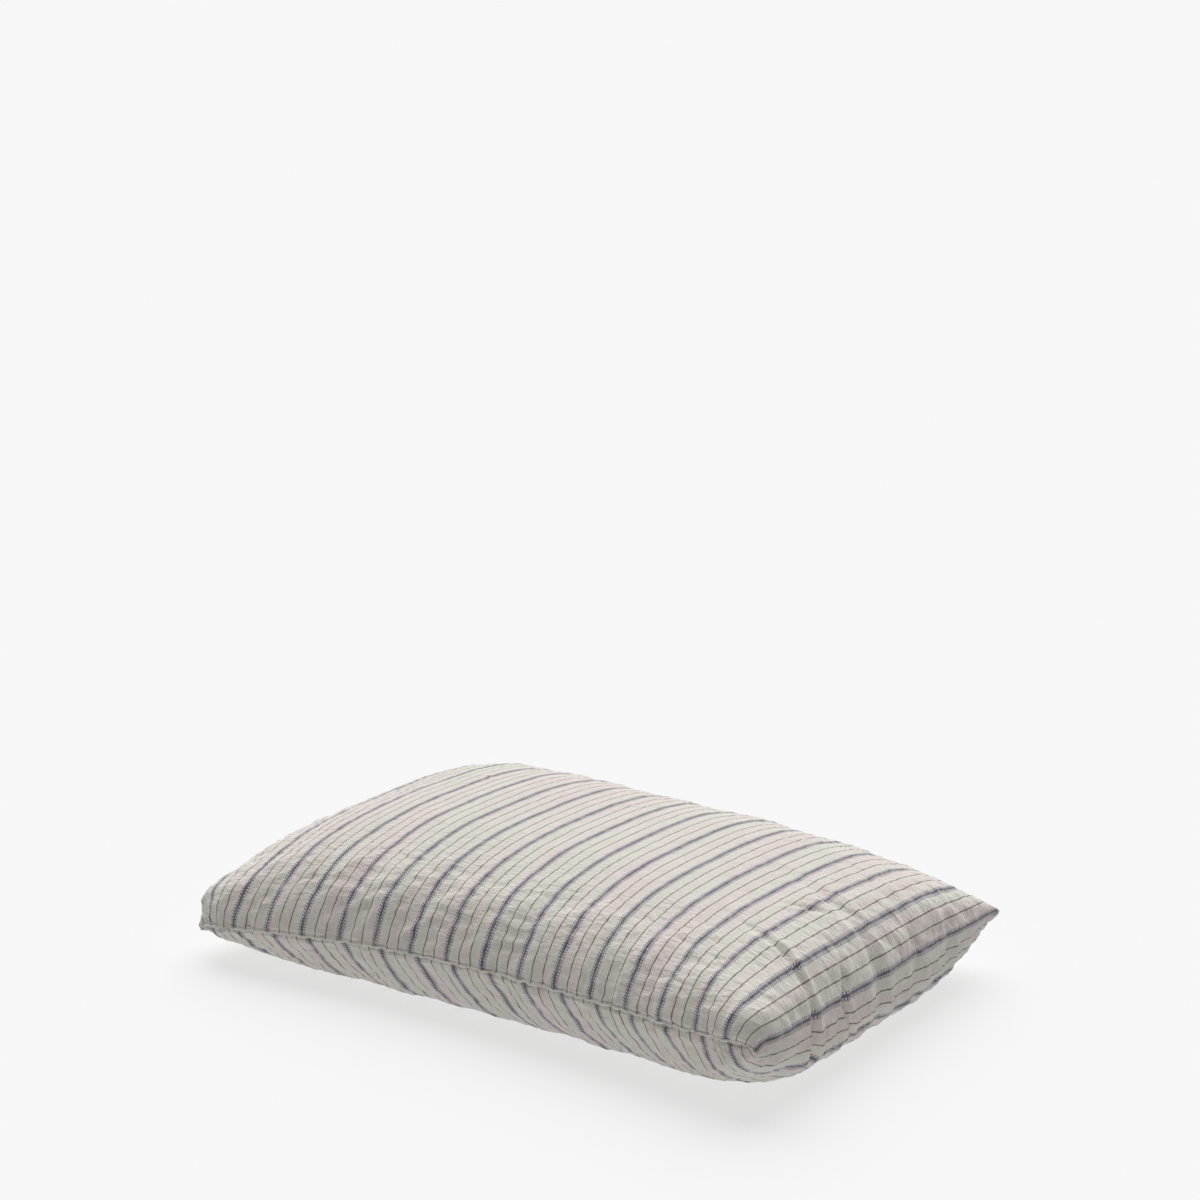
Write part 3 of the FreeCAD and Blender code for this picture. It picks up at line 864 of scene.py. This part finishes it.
# Where tints, slubs and mottle begin and end on their noise, and the most that each covers.
GREEN_EDGE = (0.36, 0.5)
PINK_EDGE = (0.48, 0.60, 0.95)
SLUB_DARK_EDGE = (1.12, 0.82, 0.16)
SLUB_PALE_EDGE = (1.02, 1.26, 0.22)
MOTTLE_EDGE = (0.55, 0.35, 0.14)
FADE_EDGE = (0.22, 0.62)
YARN_EDGE = (0.3, 0.6)

# One repeat is a blue stripe and two thin brown lines, which lie at these shares of it.
REPEAT = 41.2
BLUE_BEFORE_FOLD = 4.0
STRIPE_WANDER = 1.3
THIN_LINES = (0.355, 0.645)
LINE_EDGE = (0.85, 0.35)

# Ticks stand out of the blue stripe's core on both sides, and a row of dots runs beside it.
TICK_PITCH = 2.2
TICK_SLANT = 0.45
TICK_EDGE = (0.30, 0.16)
TICK_LEAST_REACH = 2.5
TICK_MORE_REACH = 2.8
TICK_END = (-0.25, 0.45)
CORE_LEAST_WIDTH = 0.60
CORE_MORE_WIDTH = 1.3
CORE_EDGE = (-0.35, 0.35)
DOT_PLACE = 3.7
DOT_SHIFT = 0.3
DOT_EDGE_ALONG = (0.22, 0.10)
DOT_EDGE_ACROSS = (0.85, 0.35)
CORE_SHARE, TICK_SHARE, DOT_SHARE, HALO_SHARE = 0.93, 0.84, 0.60, 0.26
HALO_EDGE = (5.0, 1.0)

WARP_PITCH = 0.85
WEFT_PITCH = 0.80
# The seam's painted light: the length of its dashes, where the painted highlight lies on the lip, and
# where the painted shade lies in the groove beside it.
SEAM_DASH = 5.0
LIP_HIGHLIGHT_EDGE = (1.5, 0.6)
SEAM_GROOVE = 2.4
SEAM_GROOVE_EDGE = (1.2, 0.2)
GROOVE_SHADE_EDGE = (0.40, 0.62, 0.55)


class Linen(Graph):
    """Washed linen with feathered blue stripes and thin brown lines, drawn on the cloth map."""

    def __init__(self):
        super().__init__("striped_linen", roughness=0.9, specular=0.18, sheen=0.25)
        parts = self.split(self.node("ShaderNodeUVMap", uv_map="cloth").outputs[0])
        self.strip = self.times(parts[0], 1 / MM)
        self.thread = self.times(parts[1], 1 / MM)
        wander = self.times(self.math("SUBTRACT", self.speckled("wander"), 0.5), STRIPE_WANDER)
        shifted = self.math("ADD", self.math("ADD", self.strip, BLUE_BEFORE_FOLD), wander)
        self.turns = self.math("DIVIDE", shifted, REPEAT)
        self.slub = self.math("ADD", self.speckled("warp slub"), self.speckled("weft slub"))

    def vector(self, x, y):
        return self.node("ShaderNodeCombineXYZ", {0: x, 1: y}).outputs[0]

    def speckled(self, name):
        size_across, size_along, detail, roughness = SPECKLES[name]
        x = self.math("DIVIDE", self.strip, size_across)
        y = self.math("DIVIDE", self.thread, size_along)
        return self.speckle(self.vector(x, y), 1.0, detail, roughness)

    def ground(self):
        """Bands of warp drift between green and pink, and a slow mottle lies over everything."""
        tint = self.speckled("tint")
        colour = self.mix(self.band(tint, *GREEN_EDGE), ECRU_GREEN, ECRU)
        colour = self.mix(self.band(tint, *PINK_EDGE), colour, ECRU_PINK)
        colour = self.mix(self.band(self.slub, *SLUB_DARK_EDGE), colour, SLUB_DARK)
        colour = self.mix(self.band(self.slub, *SLUB_PALE_EDGE), colour, SLUB_PALE)
        return self.mix(self.band(self.speckled("mottle"), *MOTTLE_EDGE), colour, MOTTLE_DARK)

    def blue_stripe(self, colour):
        """Ragged yarn-dyed ticks stand out of the stripe on both sides, slanting along it."""
        off = self.math("FRACT", self.math("ADD", self.turns, 0.5))
        off = self.times(self.math("SUBTRACT", off, 0.5), REPEAT)
        away = self.math("ABSOLUTE", off)
        jitter = self.speckled("jitter")
        teeth = self.math("DIVIDE", self.line(off, TICK_SLANT, self.thread), TICK_PITCH)
        tooth = self.band(self.gap(self.math("FRACT", teeth), 0.5), *TICK_EDGE)
        length = self.line(jitter, TICK_MORE_REACH, TICK_LEAST_REACH)
        ticks = self.times(tooth, self.band(self.math("SUBTRACT", length, away), *TICK_END))
        core_width = self.line(jitter, CORE_MORE_WIDTH, CORE_LEAST_WIDTH)
        core = self.band(self.math("SUBTRACT", core_width, away), *CORE_EDGE)
        dots = self.math("ADD", self.math("DIVIDE", self.thread, TICK_PITCH), DOT_SHIFT)
        dots = self.band(self.gap(self.math("FRACT", dots), 0.5), *DOT_EDGE_ALONG)
        dots = self.times(dots, self.band(self.gap(off, DOT_PLACE), *DOT_EDGE_ACROSS))
        blue = self.math("MAXIMUM", self.times(core, CORE_SHARE), self.times(ticks, TICK_SHARE))
        blue = self.math("MAXIMUM", blue, self.times(dots, DOT_SHARE))
        fade = self.band(self.speckled("fade"), *FADE_EDGE)
        blue = self.times(blue, self.line(fade, slope=0.30, start=0.70))
        halo = self.band(away, *HALO_EDGE, top=HALO_SHARE)
        return self.mix(halo, colour, LILAC), blue

    def thin_lines(self):
        """Share of brown yarn at each spot."""
        phase = self.math("FRACT", self.turns)
        lines = None
        for place in THIN_LINES:
            away = self.times(self.gap(phase, place), REPEAT)
            line = self.band(away, *LINE_EDGE)
            lines = line if lines is None else self.math("MAXIMUM", lines, line)
        yarn = self.band(self.speckled("yarn"), *YARN_EDGE)
        return self.times(lines, self.line(yarn, slope=0.30, start=0.66))

    def seam_wear(self, colour):
        """Painted light at the sewn edge, in dashes: a painted highlight makes its raised lip pale, and
        painted shade darkens the groove beside it.
        """
        from_seam = self.math("SUBTRACT", CUT_WIDE / MM, self.math("ABSOLUTE", self.thread))
        dashes = self.speckle(self.vector(self.math("DIVIDE", self.strip, SEAM_DASH), 0.5))
        # Painted highlight: the lip is painted paler, where light would catch it.
        lip_highlight = self.times(self.band(from_seam, *LIP_HIGHLIGHT_EDGE), self.line(dashes, slope=0.6, start=0.10))
        colour = self.mix(lip_highlight, colour, PAINTED_LIP_HIGHLIGHT)
        # Painted shade: the groove beside the lip is painted darker.
        groove_shade = self.band(self.gap(from_seam, SEAM_GROOVE), *SEAM_GROOVE_EDGE)
        groove_shade = self.times(groove_shade, self.band(dashes, *GROOVE_SHADE_EDGE))
        return self.mix(groove_shade, colour, PAINTED_GROOVE_SHADE)

    def relief(self):
        """Plain weave, slubs and the finest crinkles."""
        weave = self.times(self.wave(self.strip, WARP_PITCH), self.wave(self.thread, WEFT_PITCH))
        normal = self.bump(self.speckled("crinkle"), distance=2.4 * MM, strength=0.9)
        normal = self.bump(self.slub, distance=0.3 * MM, strength=0.7, below=normal)
        return self.bump(weave, distance=0.10 * MM, strength=0.5, below=normal)


def linen():
    g = Linen()
    colour, blue = g.blue_stripe(g.ground())
    colour = g.mix(g.thin_lines(), colour, BROWN)
    colour = g.seam_wear(g.mix(blue, colour, BLUE))
    return g.finish(colour, g.relief(), g.line(g.slub, slope=0.08, start=0.82))


# -------------------- materials of the hidden pieces

def thread_material():
    """Spun cotton thread with its twist."""
    g = Graph("cotton_thread", roughness=0.8, specular=0.3, sheen=0.2)
    place = g.place()
    fuzz = g.speckle(place, scale=1800.0, detail=3.0)
    twist = g.node("ShaderNodeTexWave", {"Vector": place, "Scale": 900.0}, bands_direction="DIAGONAL")
    colour = g.mix(fuzz, (0.66, 0.63, 0.56, 1), (0.80, 0.77, 0.70, 1))
    normal = g.bump(twist.outputs["Fac"], distance=0.1 * MM, strength=0.6)
    return g.finish(colour, normal, g.line(fuzz, slope=0.15, start=0.72))


def tape_material():
    """Blank woven label tape with a satin face."""
    g = Graph("label_tape", roughness=0.45, specular=0.4, sheen=0.1)
    place = g.place()
    parts = g.split(place)
    weave = g.times(g.wave(parts[0], 0.5 * MM), g.wave(parts[1], 0.35 * MM))
    mottle = g.speckle(place, scale=160.0, detail=3.0)
    colour = g.mix(mottle, (0.80, 0.80, 0.77, 1), (0.88, 0.88, 0.86, 1))
    normal = g.bump(weave, distance=0.06 * MM, strength=0.5)
    return g.finish(colour, normal, g.line(mottle, slope=0.2, start=0.4))


def ticking_material():
    """Dense down-proof cotton: a fine twill, with a faint yellowing."""
    g = Graph("cotton_ticking", roughness=0.75, specular=0.3, sheen=0.15)
    place = g.place()
    parts = g.split(place)
    twill = g.wave(g.math("ADD", parts[0], parts[1]), 0.9 * MM)
    slow = g.speckle(place, scale=14.0, detail=3.0)
    fine = g.speckle(place, scale=900.0)
    colour = g.mix(slow, (0.78, 0.76, 0.69, 1), (0.86, 0.85, 0.81, 1))
    normal = g.bump(g.math("ADD", twill, fine), distance=0.08 * MM, strength=0.5)
    return g.finish(colour, normal, g.line(fine, slope=0.15, start=0.68))


def fibre_material():
    """Lofty white fibre."""
    g = Graph("fibre_fill", roughness=0.95, specular=0.15, sheen=0.5)
    place = g.place()
    strands = g.speckle(place, scale=260.0, detail=6.0, distortion=2.5)
    clumps = g.speckle(place, scale=30.0, detail=4.0)
    colour = g.mix(clumps, (0.80, 0.79, 0.76, 1), (0.90, 0.90, 0.88, 1))
    clumped = g.bump(clumps, distance=3 * MM, strength=0.6)
    normal = g.bump(strands, distance=1.2 * MM, strength=0.7, below=clumped)
    return g.finish(colour, normal, g.line(clumps, slope=0.1, start=0.85))


# -------------------- what lies inside

# The least share of the pillow's height that a layer inside it keeps, and how boxy the inner
# pillow's edge is.
LEAST_HEIGHT = 0.05
LENS_POWER = 10


class Cloth:
    """The settled case, looked up at cloth coordinates."""

    def __init__(self, piece, top, bottom):
        points = read_points(piece.data)
        self.sides = {"top": points[top], "bottom": points[bottom]}

    def at(self, side, along, across):
        """Points on one side, between the grid's own."""
        points = self.sides[side]
        column = np.interp(along, ALONG_LINES, np.arange(ALONG_LINES.size)) - 1e-6
        row = np.interp(across, ACROSS_LINES, np.arange(ACROSS_LINES.size)) - 1e-6
        column, row = np.maximum(column, 0), np.maximum(row, 0)
        i, j = column.astype(int), row.astype(int)
        u, v = (column - i)[..., None], (row - j)[..., None]
        low = points[i, j] * (1 - u) + points[i + 1, j] * u
        high = points[i, j + 1] * (1 - u) + points[i + 1, j + 1] * u
        return low * (1 - v) + high * v

    def middle(self, along, across):
        return (self.at("top", along, across) + self.at("bottom", along, across)) / 2

    def inside(self, side, along, across, depth):
        """Points under one side's cloth, moved by a depth towards the pillow's middle plane."""
        middle = self.middle(along, across)
        out = self.at(side, along, across) - middle
        height = np.linalg.norm(out, axis=-1, keepdims=True)
        return middle + out * np.clip(1 - depth / np.maximum(height, 1e-9), LEAST_HEIGHT, 1)

    def lens(self, side, along, across, edge_inset, depth):
        """One side of a smaller pillow inside this one, closed at its own edge."""
        scaled_along = along * (1 - edge_inset / CUT_LONG)
        scaled_across = across * (1 - edge_inset / CUT_WIDE)
        profile = np.sqrt((1 - np.abs(along) ** LENS_POWER) * (1 - np.abs(across) ** LENS_POWER))
        middle = self.middle(scaled_along, scaled_across)
        inner = self.inside(side, scaled_along, scaled_across, depth)
        return middle + (inner - middle) * profile[..., None]


def patch(along_range, across_range, counts):
    """Cloth coordinates over a rectangle, as two grids."""
    along = np.linspace(*along_range, counts[0])
    across = np.linspace(*across_range, counts[1])
    return np.meshgrid(along, across, indexing="ij")


def grid_normals(points):
    first = np.gradient(points, axis=0)
    second = np.gradient(points, axis=1)
    return unit(np.cross(first, second))


LOWEST_LAYER = 0.9 * MM


def slab(name, points, thickness, strip, thread):
    """A closed thin piece: a grid of points, and the same grid a thickness behind it."""
    behind = points - grid_normals(points) * thickness
    size = points.shape[0] * points.shape[1]
    front = np.arange(size).reshape(points.shape[:2])
    back = front + size
    ring = np.concatenate([front[:-1, 0], front[-1, :-1], front[:0:-1, -1], front[0, :0:-1]])
    rim = np.stack([np.roll(ring, -1), ring, ring + size, np.roll(ring, -1) + size], axis=-1)
    faces = np.concatenate([grid_faces(front, False), grid_faces(back, True), rim])
    both = np.concatenate([points.reshape(-1, 3), behind.reshape(-1, 3)])
    both[:, 2] = np.maximum(both[:, 2], LOWEST_LAYER)
    piece = new_mesh(name, both, faces)
    corners = loop_vertices(piece.data) % size
    write_map(piece.data, strip.ravel()[corners], thread.ravel()[corners])
    return piece


def tube(name, path, radius, sides=8):
    """A closed ring of round cord along a loop of points."""
    ahead = unit(np.roll(path, -1, axis=0) - np.roll(path, 1, axis=0))
    out = unit(np.cross(ahead, np.array([0, 0, 1.0])))
    over = np.cross(out, ahead)
    turns = 2 * math.pi * np.arange(sides) / sides
    ring = out[:, None] * np.cos(turns)[:, None] + over[:, None] * np.sin(turns)[:, None]
    points = path[:, None] + radius * ring
    numbers = np.arange(len(path) * sides).reshape(len(path), sides)
    after, beside = np.roll(numbers, -1, axis=0), np.roll(numbers, -1, axis=1)
    diagonal = np.roll(after, -1, axis=1)
    faces = np.stack([numbers, after, diagonal, beside], axis=-1).reshape(-1, 4)
    return new_mesh(name, points.reshape(-1, 3), faces)


STITCH_LENGTH = 3.2 * MM
STITCH_PITCH = 4.5 * MM
STITCH_WIDTH = 0.6 * MM
# A stitch narrows and sinks into the cloth at its ends.
STITCH_SINK = 0.25 * MM
STITCH_END = 0.08
STITCH_RINGS = 7
STITCH_SIDES = 6


def stitches(name, points, outward):
    """A sewn row: a rounded length of thread at each pitch along a line of points."""
    run = np.concatenate([[0], np.cumsum(np.linalg.norm(np.diff(points, axis=0), axis=1))])
    count = int(run[-1] / STITCH_PITCH)
    centres = (np.arange(count) + 0.5) * run[-1] / count
    sides = STITCH_SIDES
    vertices, faces = [], []

    def along_row(values, place):
        return np.array([np.interp(place, run, values[:, axis]) for axis in range(3)])

    for centre in centres:
        middle = along_row(points, centre)
        ahead = unit(along_row(points, centre + MM) - along_row(points, centre - MM))
        side = unit(np.cross(along_row(outward, centre), ahead))
        up = np.cross(ahead, side)
        first = len(vertices)
        for ring in range(STITCH_RINGS):
            part = -1 + 2 * ring / (STITCH_RINGS - 1)
            thick = STITCH_WIDTH / 2 * math.sqrt(max(1 - abs(part) ** 4, STITCH_END))
            sink = STITCH_SINK * part ** 4
            for number in range(sides):
                turn = 2 * math.pi * number / sides
                wrap = side * math.cos(turn) + up * math.sin(turn)
                vertices.append(middle + ahead * part * STITCH_LENGTH / 2 + wrap * thick - up * sink)
            if ring:
                low = first + (ring - 1) * sides
                for number in range(sides):
                    beside = (number + 1) % sides
                    faces.append((low + number, low + beside, low + sides + beside, low + sides + number))
        faces.append(tuple(range(first + sides - 1, first - 1, -1)))
        last = first + (STITCH_RINGS - 1) * sides
        faces.append(tuple(range(last, last + sides)))
    return new_mesh(name, vertices, faces)


def declare(piece, material):
    """Every piece rides on the one body and takes the place of the CAD node that it is named after."""
    piece.data.materials.append(material)
    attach(piece, "root")
    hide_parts(piece.name.removesuffix(SOFT))


def sew(name, points, outward, lift, thread):
    """A row of stitches that lies a little above the cloth."""
    declare(stitches(name, points + outward * lift, outward), thread)


CLOTH_THICKNESS = 0.6 * MM
HEM = 25 * MM
FLAP = 160 * MM
FLAP_HEM = 10 * MM
# Where the hem and the flap begin, and how far each reaches across the case on both sides.
HEM_START = 2 * MM
HEM_WIDTH = 0.955
FLAP_WIDTH = 0.90
# How deep under the underside's cloth each layer lies.
HEM_DEPTH = 2.2 * MM
FLAP_DEPTH = 4.0 * MM
FLAP_HEM_DEPTH = 5.2 * MM
FLAP_ROW_DEPTH = 6.0 * MM
# The rows that sew the hems: their reach across, their distance from the hem's edge, and how far
# their thread lies above the cloth.
HEM_ROW_WIDTH = 0.945
HEM_ROW_IN = 3 * MM
HEM_ROW_LIFT = 0.15 * MM
FLAP_ROW_WIDTH = 0.88
FLAP_ROW_IN = 4 * MM
ROW_LIFT = 0.1 * MM


def from_mouth(distance):
    """The along coordinate at a distance from the mouth."""
    return -1 + distance / CUT_LONG


def strip_at(along):
    """Distance across the stripes from the fold."""
    return (1 - along) * CUT_LONG


def strip_past_mouth(along):
    """The same, for cloth that runs on round the upper lip and back into the case."""
    return -(3 + along) * CUT_LONG


def under_layer(name, cloth, material, reach, width, counts, depth, strip_of):
    """A layer of linen inside the underside's cloth, from one distance from the mouth to another."""
    along_range = (from_mouth(reach[0]), from_mouth(reach[1]))
    along, across = patch(along_range, (-width, width), counts)
    points = cloth.inside("bottom", along, across, depth)
    points, along, across = points[:, ::-1], along[:, ::-1], across[:, ::-1]
    piece = slab(name, points, CLOTH_THICKNESS, strip_of(along), across * CUT_WIDE)
    declare(piece, material)
    return piece


def make_hems_and_flap(cloth, material):
    """The mouth hem, and the flap that turns in at the upper lip and lies over the hem."""
    hem = under_layer("case_mouth_hem", cloth, material, (HEM_START, HEM), HEM_WIDTH, (12, 90),
                      HEM_DEPTH, strip_at)
    flap = under_layer("case_inner_flap", cloth, material, (HEM_START, FLAP), FLAP_WIDTH, (48, 90),
                       FLAP_DEPTH, strip_past_mouth)
    flap_hem = under_layer("case_flap_hem", cloth, material, (FLAP - FLAP_HEM, FLAP), FLAP_WIDTH, (6, 90),
                           FLAP_HEM_DEPTH, strip_past_mouth)


ALLOWANCE = 5.5 * MM
ALLOWANCE_THICKNESS = 1.6 * MM
ALLOWANCE_FROM_SEAM = 0.9 * MM
ALLOWANCE_END = 1 - 16 * MM / CUT_LONG
ALLOWANCE_ROW = 3


def make_allowances(cloth, material, thread):
    """The French seam allowances inside the long sides, and the rows that sew them."""
    for side, sign in (("front", -1), ("back", 1)):
        reach = (ALLOWANCE_FROM_SEAM, ALLOWANCE_FROM_SEAM + ALLOWANCE)
        along, from_seam = patch((-ALLOWANCE_END, ALLOWANCE_END), reach, (120, 6))
        across = sign * (1 - from_seam / CUT_WIDE)
        if sign > 0:
            along, across = along[::-1], across[::-1]
        points = cloth.middle(along, across)
        points = points + grid_normals(points) * ALLOWANCE_THICKNESS / 2
        name = f"case_{side}_seam"
        piece = slab(name, points, ALLOWANCE_THICKNESS, -strip_at(along), across * CUT_WIDE)
        declare(piece, material)
        up = grid_normals(points)[:, ALLOWANCE_ROW]
        sew(f"{name}_thread", points[:, ALLOWANCE_ROW], up, ROW_LIFT, thread)


INSERT_MARGIN = 18 * MM
PANEL_DEPTH = 8 * MM
PANEL_THICKNESS = 0.4 * MM
PIPING_MARGIN = INSERT_MARGIN - 1.5 * MM
PIPING_RADIUS = 1.7 * MM
# The closing row's place along, with the normals taken from a narrow strip, and its reach across.
CLOSING_ALONG = (0.965, 0.975)
CLOSING_ACROSS = (-0.53, 0.53)
CLOSING_LIFT = 0.2 * MM
TAPE_THICKNESS = 0.25 * MM
LABEL_CELLS = (24, 16)
LABEL_PLACE = ((0.50, 0.70), (0.62, 0.76))
LABEL_LIFT = 0.5 * MM
CARE_PLACE = ((0.53, 0.687), (0.84, 0.96))
CARE_DEPTH = 3.5 * MM
FILLING_MARGIN = INSERT_MARGIN + 2 * MM
FILLING_DEPTH = 10 * MM
LUMP_HEIGHT = 0.8 * MM
LUMP_SEED = 71
LUMPS_ABOVE = 20 * MM


def insert_patch():
    """Cloth coordinates over the inner pillow, crowded towards its edges, where it turns in."""
    along, across = patch((-1, 1), (-1, 1), (72, 52))
    return np.sin(along * math.pi / 2), np.sin(across * math.pi / 2)


def make_panels(cloth, ticking):
    along, across = insert_patch()
    strip, thread = along * CUT_LONG, across * CUT_WIDE
    for side in ("top", "bottom"):
        points = cloth.lens(side, along, across, INSERT_MARGIN, PANEL_DEPTH)
        if side == "bottom":
            points = points[:, ::-1]
        panel = slab(f"ticking_{side}_panel", points, PANEL_THICKNESS, strip, thread)
        declare(panel, ticking)


def make_piping(cloth, ticking):
    """The corded edge that joins the two panels, once round from the front corner at the mouth."""
    lengthwise = np.linspace(-1, 1, 160)[:-1]
    widthwise = np.linspace(-1, 1, 110)[:-1]
    edge = [(value, -1) for value in lengthwise]
    edge += [(1, value) for value in widthwise]
    edge += [(-value, 1) for value in lengthwise]
    edge += [(-1, -value) for value in widthwise]
    along, across = np.array(edge).T
    loop = cloth.lens("top", along, across, PIPING_MARGIN, PANEL_DEPTH)
    declare(tube("ticking_piping", loop, PIPING_RADIUS), ticking)


def make_closing_row(cloth, thread):
    along, across = patch(CLOSING_ALONG, CLOSING_ACROSS, (3, 60))
    points = cloth.lens("top", along, across, INSERT_MARGIN, PANEL_DEPTH)
    up = grid_normals(points)[1]
    sew("ticking_closing_thread", points[1], up, CLOSING_LIFT, thread)


def make_labels(cloth, tape):
    """The fibre label on the inner pillow, and the case's care label at the back seam."""
    along, across = patch(*LABEL_PLACE, LABEL_CELLS)
    points = cloth.lens("top", along, across, INSERT_MARGIN, PANEL_DEPTH - LABEL_LIFT)
    label = slab("ticking_label", points, TAPE_THICKNESS, along, across)
    declare(label, tape)

    along, across = patch(*CARE_PLACE, LABEL_CELLS)
    points = cloth.inside("bottom", along, across, CARE_DEPTH)
    care = slab("case_care_label", points[:, ::-1], TAPE_THICKNESS, along, across)
    declare(care, tape)


def make_filling(cloth, fibre):
    along, across = insert_patch()
    upper, lower = paired_grids(along.shape, first_free=1)
    points = np.zeros((int(lower.max()) + 1, 3))
    points[lower] = cloth.lens("bottom", along, across, FILLING_MARGIN, FILLING_DEPTH)
    points[upper] = cloth.lens("top", along, across, FILLING_MARGIN, FILLING_DEPTH)
    x, y, z = points.T
    lumps = noise(x / (20 * MM), y / (20 * MM) + z / (30 * MM), LUMP_SEED) * LUMP_HEIGHT
    points[:, 2] += np.where(z > LUMPS_ABOVE, lumps, 0)
    faces = np.concatenate([grid_faces(upper, False), grid_faces(lower, True)])
    filling = new_mesh("filling", points, faces)
    declare(filling, fibre)


def make_hem_threads(cloth, case, thread):
    """The hem's row shows on the outside of the underside, the flap's row only inside."""
    across = np.linspace(-HEM_ROW_WIDTH, HEM_ROW_WIDTH, 160)
    along = np.full_like(across, from_mouth(HEM - HEM_ROW_IN))
    points, normals = case_surface(case, -1, along, across)
    sew("case_mouth_hem_thread", points, normals, HEM_ROW_LIFT, thread)
    reach = (from_mouth(FLAP - FLAP_HEM), from_mouth(FLAP - FLAP_ROW_IN))
    along, across = patch(reach, (-FLAP_ROW_WIDTH, FLAP_ROW_WIDTH), (3, 90))
    points = cloth.inside("bottom", along, across, FLAP_ROW_DEPTH)
    up = grid_normals(points)[1]
    sew("case_flap_hem_thread", points[1], up, ROW_LIFT, thread)


def case_surface(case, facing, along, across):
    """Points and normals of the finished case at cloth coordinates."""
    mesh = case.data
    scale = (CUT_LONG, CUT_WIDE)
    chosen = read_attribute(mesh, "facing") * facing > 0.5
    places = np.stack(read_places(mesh), axis=-1)[chosen] * scale
    points, normals = read_points(mesh)[chosen], read_normals(mesh)[chosen]
    found_points, found_normals = [], []
    for place in np.stack([along, across], axis=-1) * scale:
        away = np.linalg.norm(places - place, axis=1)
        near = np.argsort(away)[:4]
        weight = 1 / (away[near] + 1e-5)
        weight = (weight / weight.sum())[:, None]
        found_points.append((points[near] * weight).sum(axis=0))
        found_normals.append((normals[near] * weight).sum(axis=0))
    return np.array(found_points), unit(np.array(found_normals))


# -------------------- studio

CAMERA_AZIMUTH = math.radians(36.35)
CAMERA_ELEVATION = math.radians(20.66)
CAMERA_DISTANCE = 2.465
AIM_HEIGHT = 60 * MM
# The pillow lies low in the photo, so the camera's axis points above and beside the aim.
AXIS_ABOVE_AIM = math.radians(7.21)
AXIS_BESIDE_AIM = math.radians(0.08)
LENS_MM = 73.5
FARTHEST = 100


def add_camera():
    back = np.array([
        math.sin(CAMERA_AZIMUTH) * math.cos(CAMERA_ELEVATION),
        -math.cos(CAMERA_AZIMUTH) * math.cos(CAMERA_ELEVATION),
        math.sin(CAMERA_ELEVATION),
    ])
    camera = bpy.data.objects.new("camera", bpy.data.cameras.new("camera"))
    bpy.context.scene.collection.objects.link(camera)
    camera.location = np.array([0, 0, AIM_HEIGHT]) + back * CAMERA_DISTANCE
    down = CAMERA_ELEVATION - AXIS_ABOVE_AIM
    camera.rotation_euler = (math.pi / 2 - down, 0, CAMERA_AZIMUTH + AXIS_BESIDE_AIM)
    camera.data.lens = LENS_MM
    camera.data.clip_end = FARTHEST
    bpy.context.scene.camera = camera


PAPER_GLOW = 0.683
PAPER_SHADE = 0.175
PAPER_GRAIN = 1.01
PAPER_HALF = 60.0
# The world's brightness at the horizon and higher up, and the heights between which it changes.
HORIZON = 0.93
SURROUND = 0.085
DIM_FROM = 0.08
DIM_ABOVE = 0.25
SUN_STRENGTH = 4.8
SUN_SPREAD = math.radians(70)
SUN_FROM = (-0.36, 0.50, 1.0)


def add_studio():
    """Pale paper to the horizon, a dim room above it, and one very large soft light above and behind."""
    scene = bpy.context.scene
    scene.view_settings.view_transform = "Standard"
    world = bpy.data.worlds.new("studio")
    scene.world = world
    world.use_nodes = True
    tree = world.node_tree
    split = tree.nodes.new("ShaderNodeSeparateXYZ")
    tree.links.new(tree.nodes.new("ShaderNodeTexCoord").outputs["Generated"], split.inputs[0])
    ramp = tree.nodes.new("ShaderNodeMapRange")
    ramp.interpolation_type = "SMOOTHSTEP"
    tree.links.new(split.outputs["Z"], ramp.inputs["Value"])
    ramp.inputs["From Min"].default_value = DIM_FROM
    ramp.inputs["From Max"].default_value = DIM_ABOVE
    ramp.inputs["To Min"].default_value = HORIZON
    ramp.inputs["To Max"].default_value = SURROUND
    tree.links.new(ramp.outputs["Result"], tree.nodes["Background"].inputs["Strength"])
    tree.nodes["Background"].inputs["Color"].default_value = (1, 1, 1, 1)

    lamp = bpy.data.objects.new("overhead", bpy.data.lights.new("overhead", "SUN"))
    scene.collection.objects.link(lamp)
    lamp.data.energy = SUN_STRENGTH
    lamp.data.angle = SUN_SPREAD
    lamp.rotation_euler = Vector(SUN_FROM).to_track_quat("Z", "Y").to_euler()

    corners = [(PAPER_HALF * x, PAPER_HALF * y, 0) for x, y in ((-1, -1), (1, -1), (1, 1), (-1, 1))]
    floor = new_mesh("paper", corners, [(0, 1, 2, 3)])
    floor.data.materials.append(paper_material())


def paper_material():
    """Bright white paper, lit from beneath as well, so that shadows on it stay pale."""
    g = Graph("paper", roughness=0.95, specular=0.0, sheen=0.0)
    grain = g.speckle(g.place(), scale=40.0, detail=3.0)
    colour = g.mix(grain, (PAPER_SHADE,) * 3 + (1,), (PAPER_SHADE * PAPER_GRAIN,) * 3 + (1,))
    g.fill(g.shader, {"Emission Color": (1, 1, 1, 1), "Emission Strength": PAPER_GLOW})
    return g.finish(colour)


# -------------------- everything

add_camera()
case, top_grid, bottom_grid, flat_cloth = make_cloth()
settle(case, top_grid, bottom_grid, flat_cloth)
cloth = Cloth(case, top_grid, bottom_grid)
pace_pattern(case, top_grid, bottom_grid)
subdivide(case, levels=2)
add_fine_shape(case)

linen_cloth = linen()
cotton_thread = thread_material()
label_tape = tape_material()
declare(case, linen_cloth)
make_hems_and_flap(cloth, linen_cloth)
make_allowances(cloth, linen_cloth, cotton_thread)
make_hem_threads(cloth, case, cotton_thread)
ticking = ticking_material()
make_panels(cloth, ticking)
make_piping(cloth, ticking)
make_closing_row(cloth, cotton_thread)
make_labels(cloth, label_tape)
make_filling(cloth, fibre_material())
add_studio()
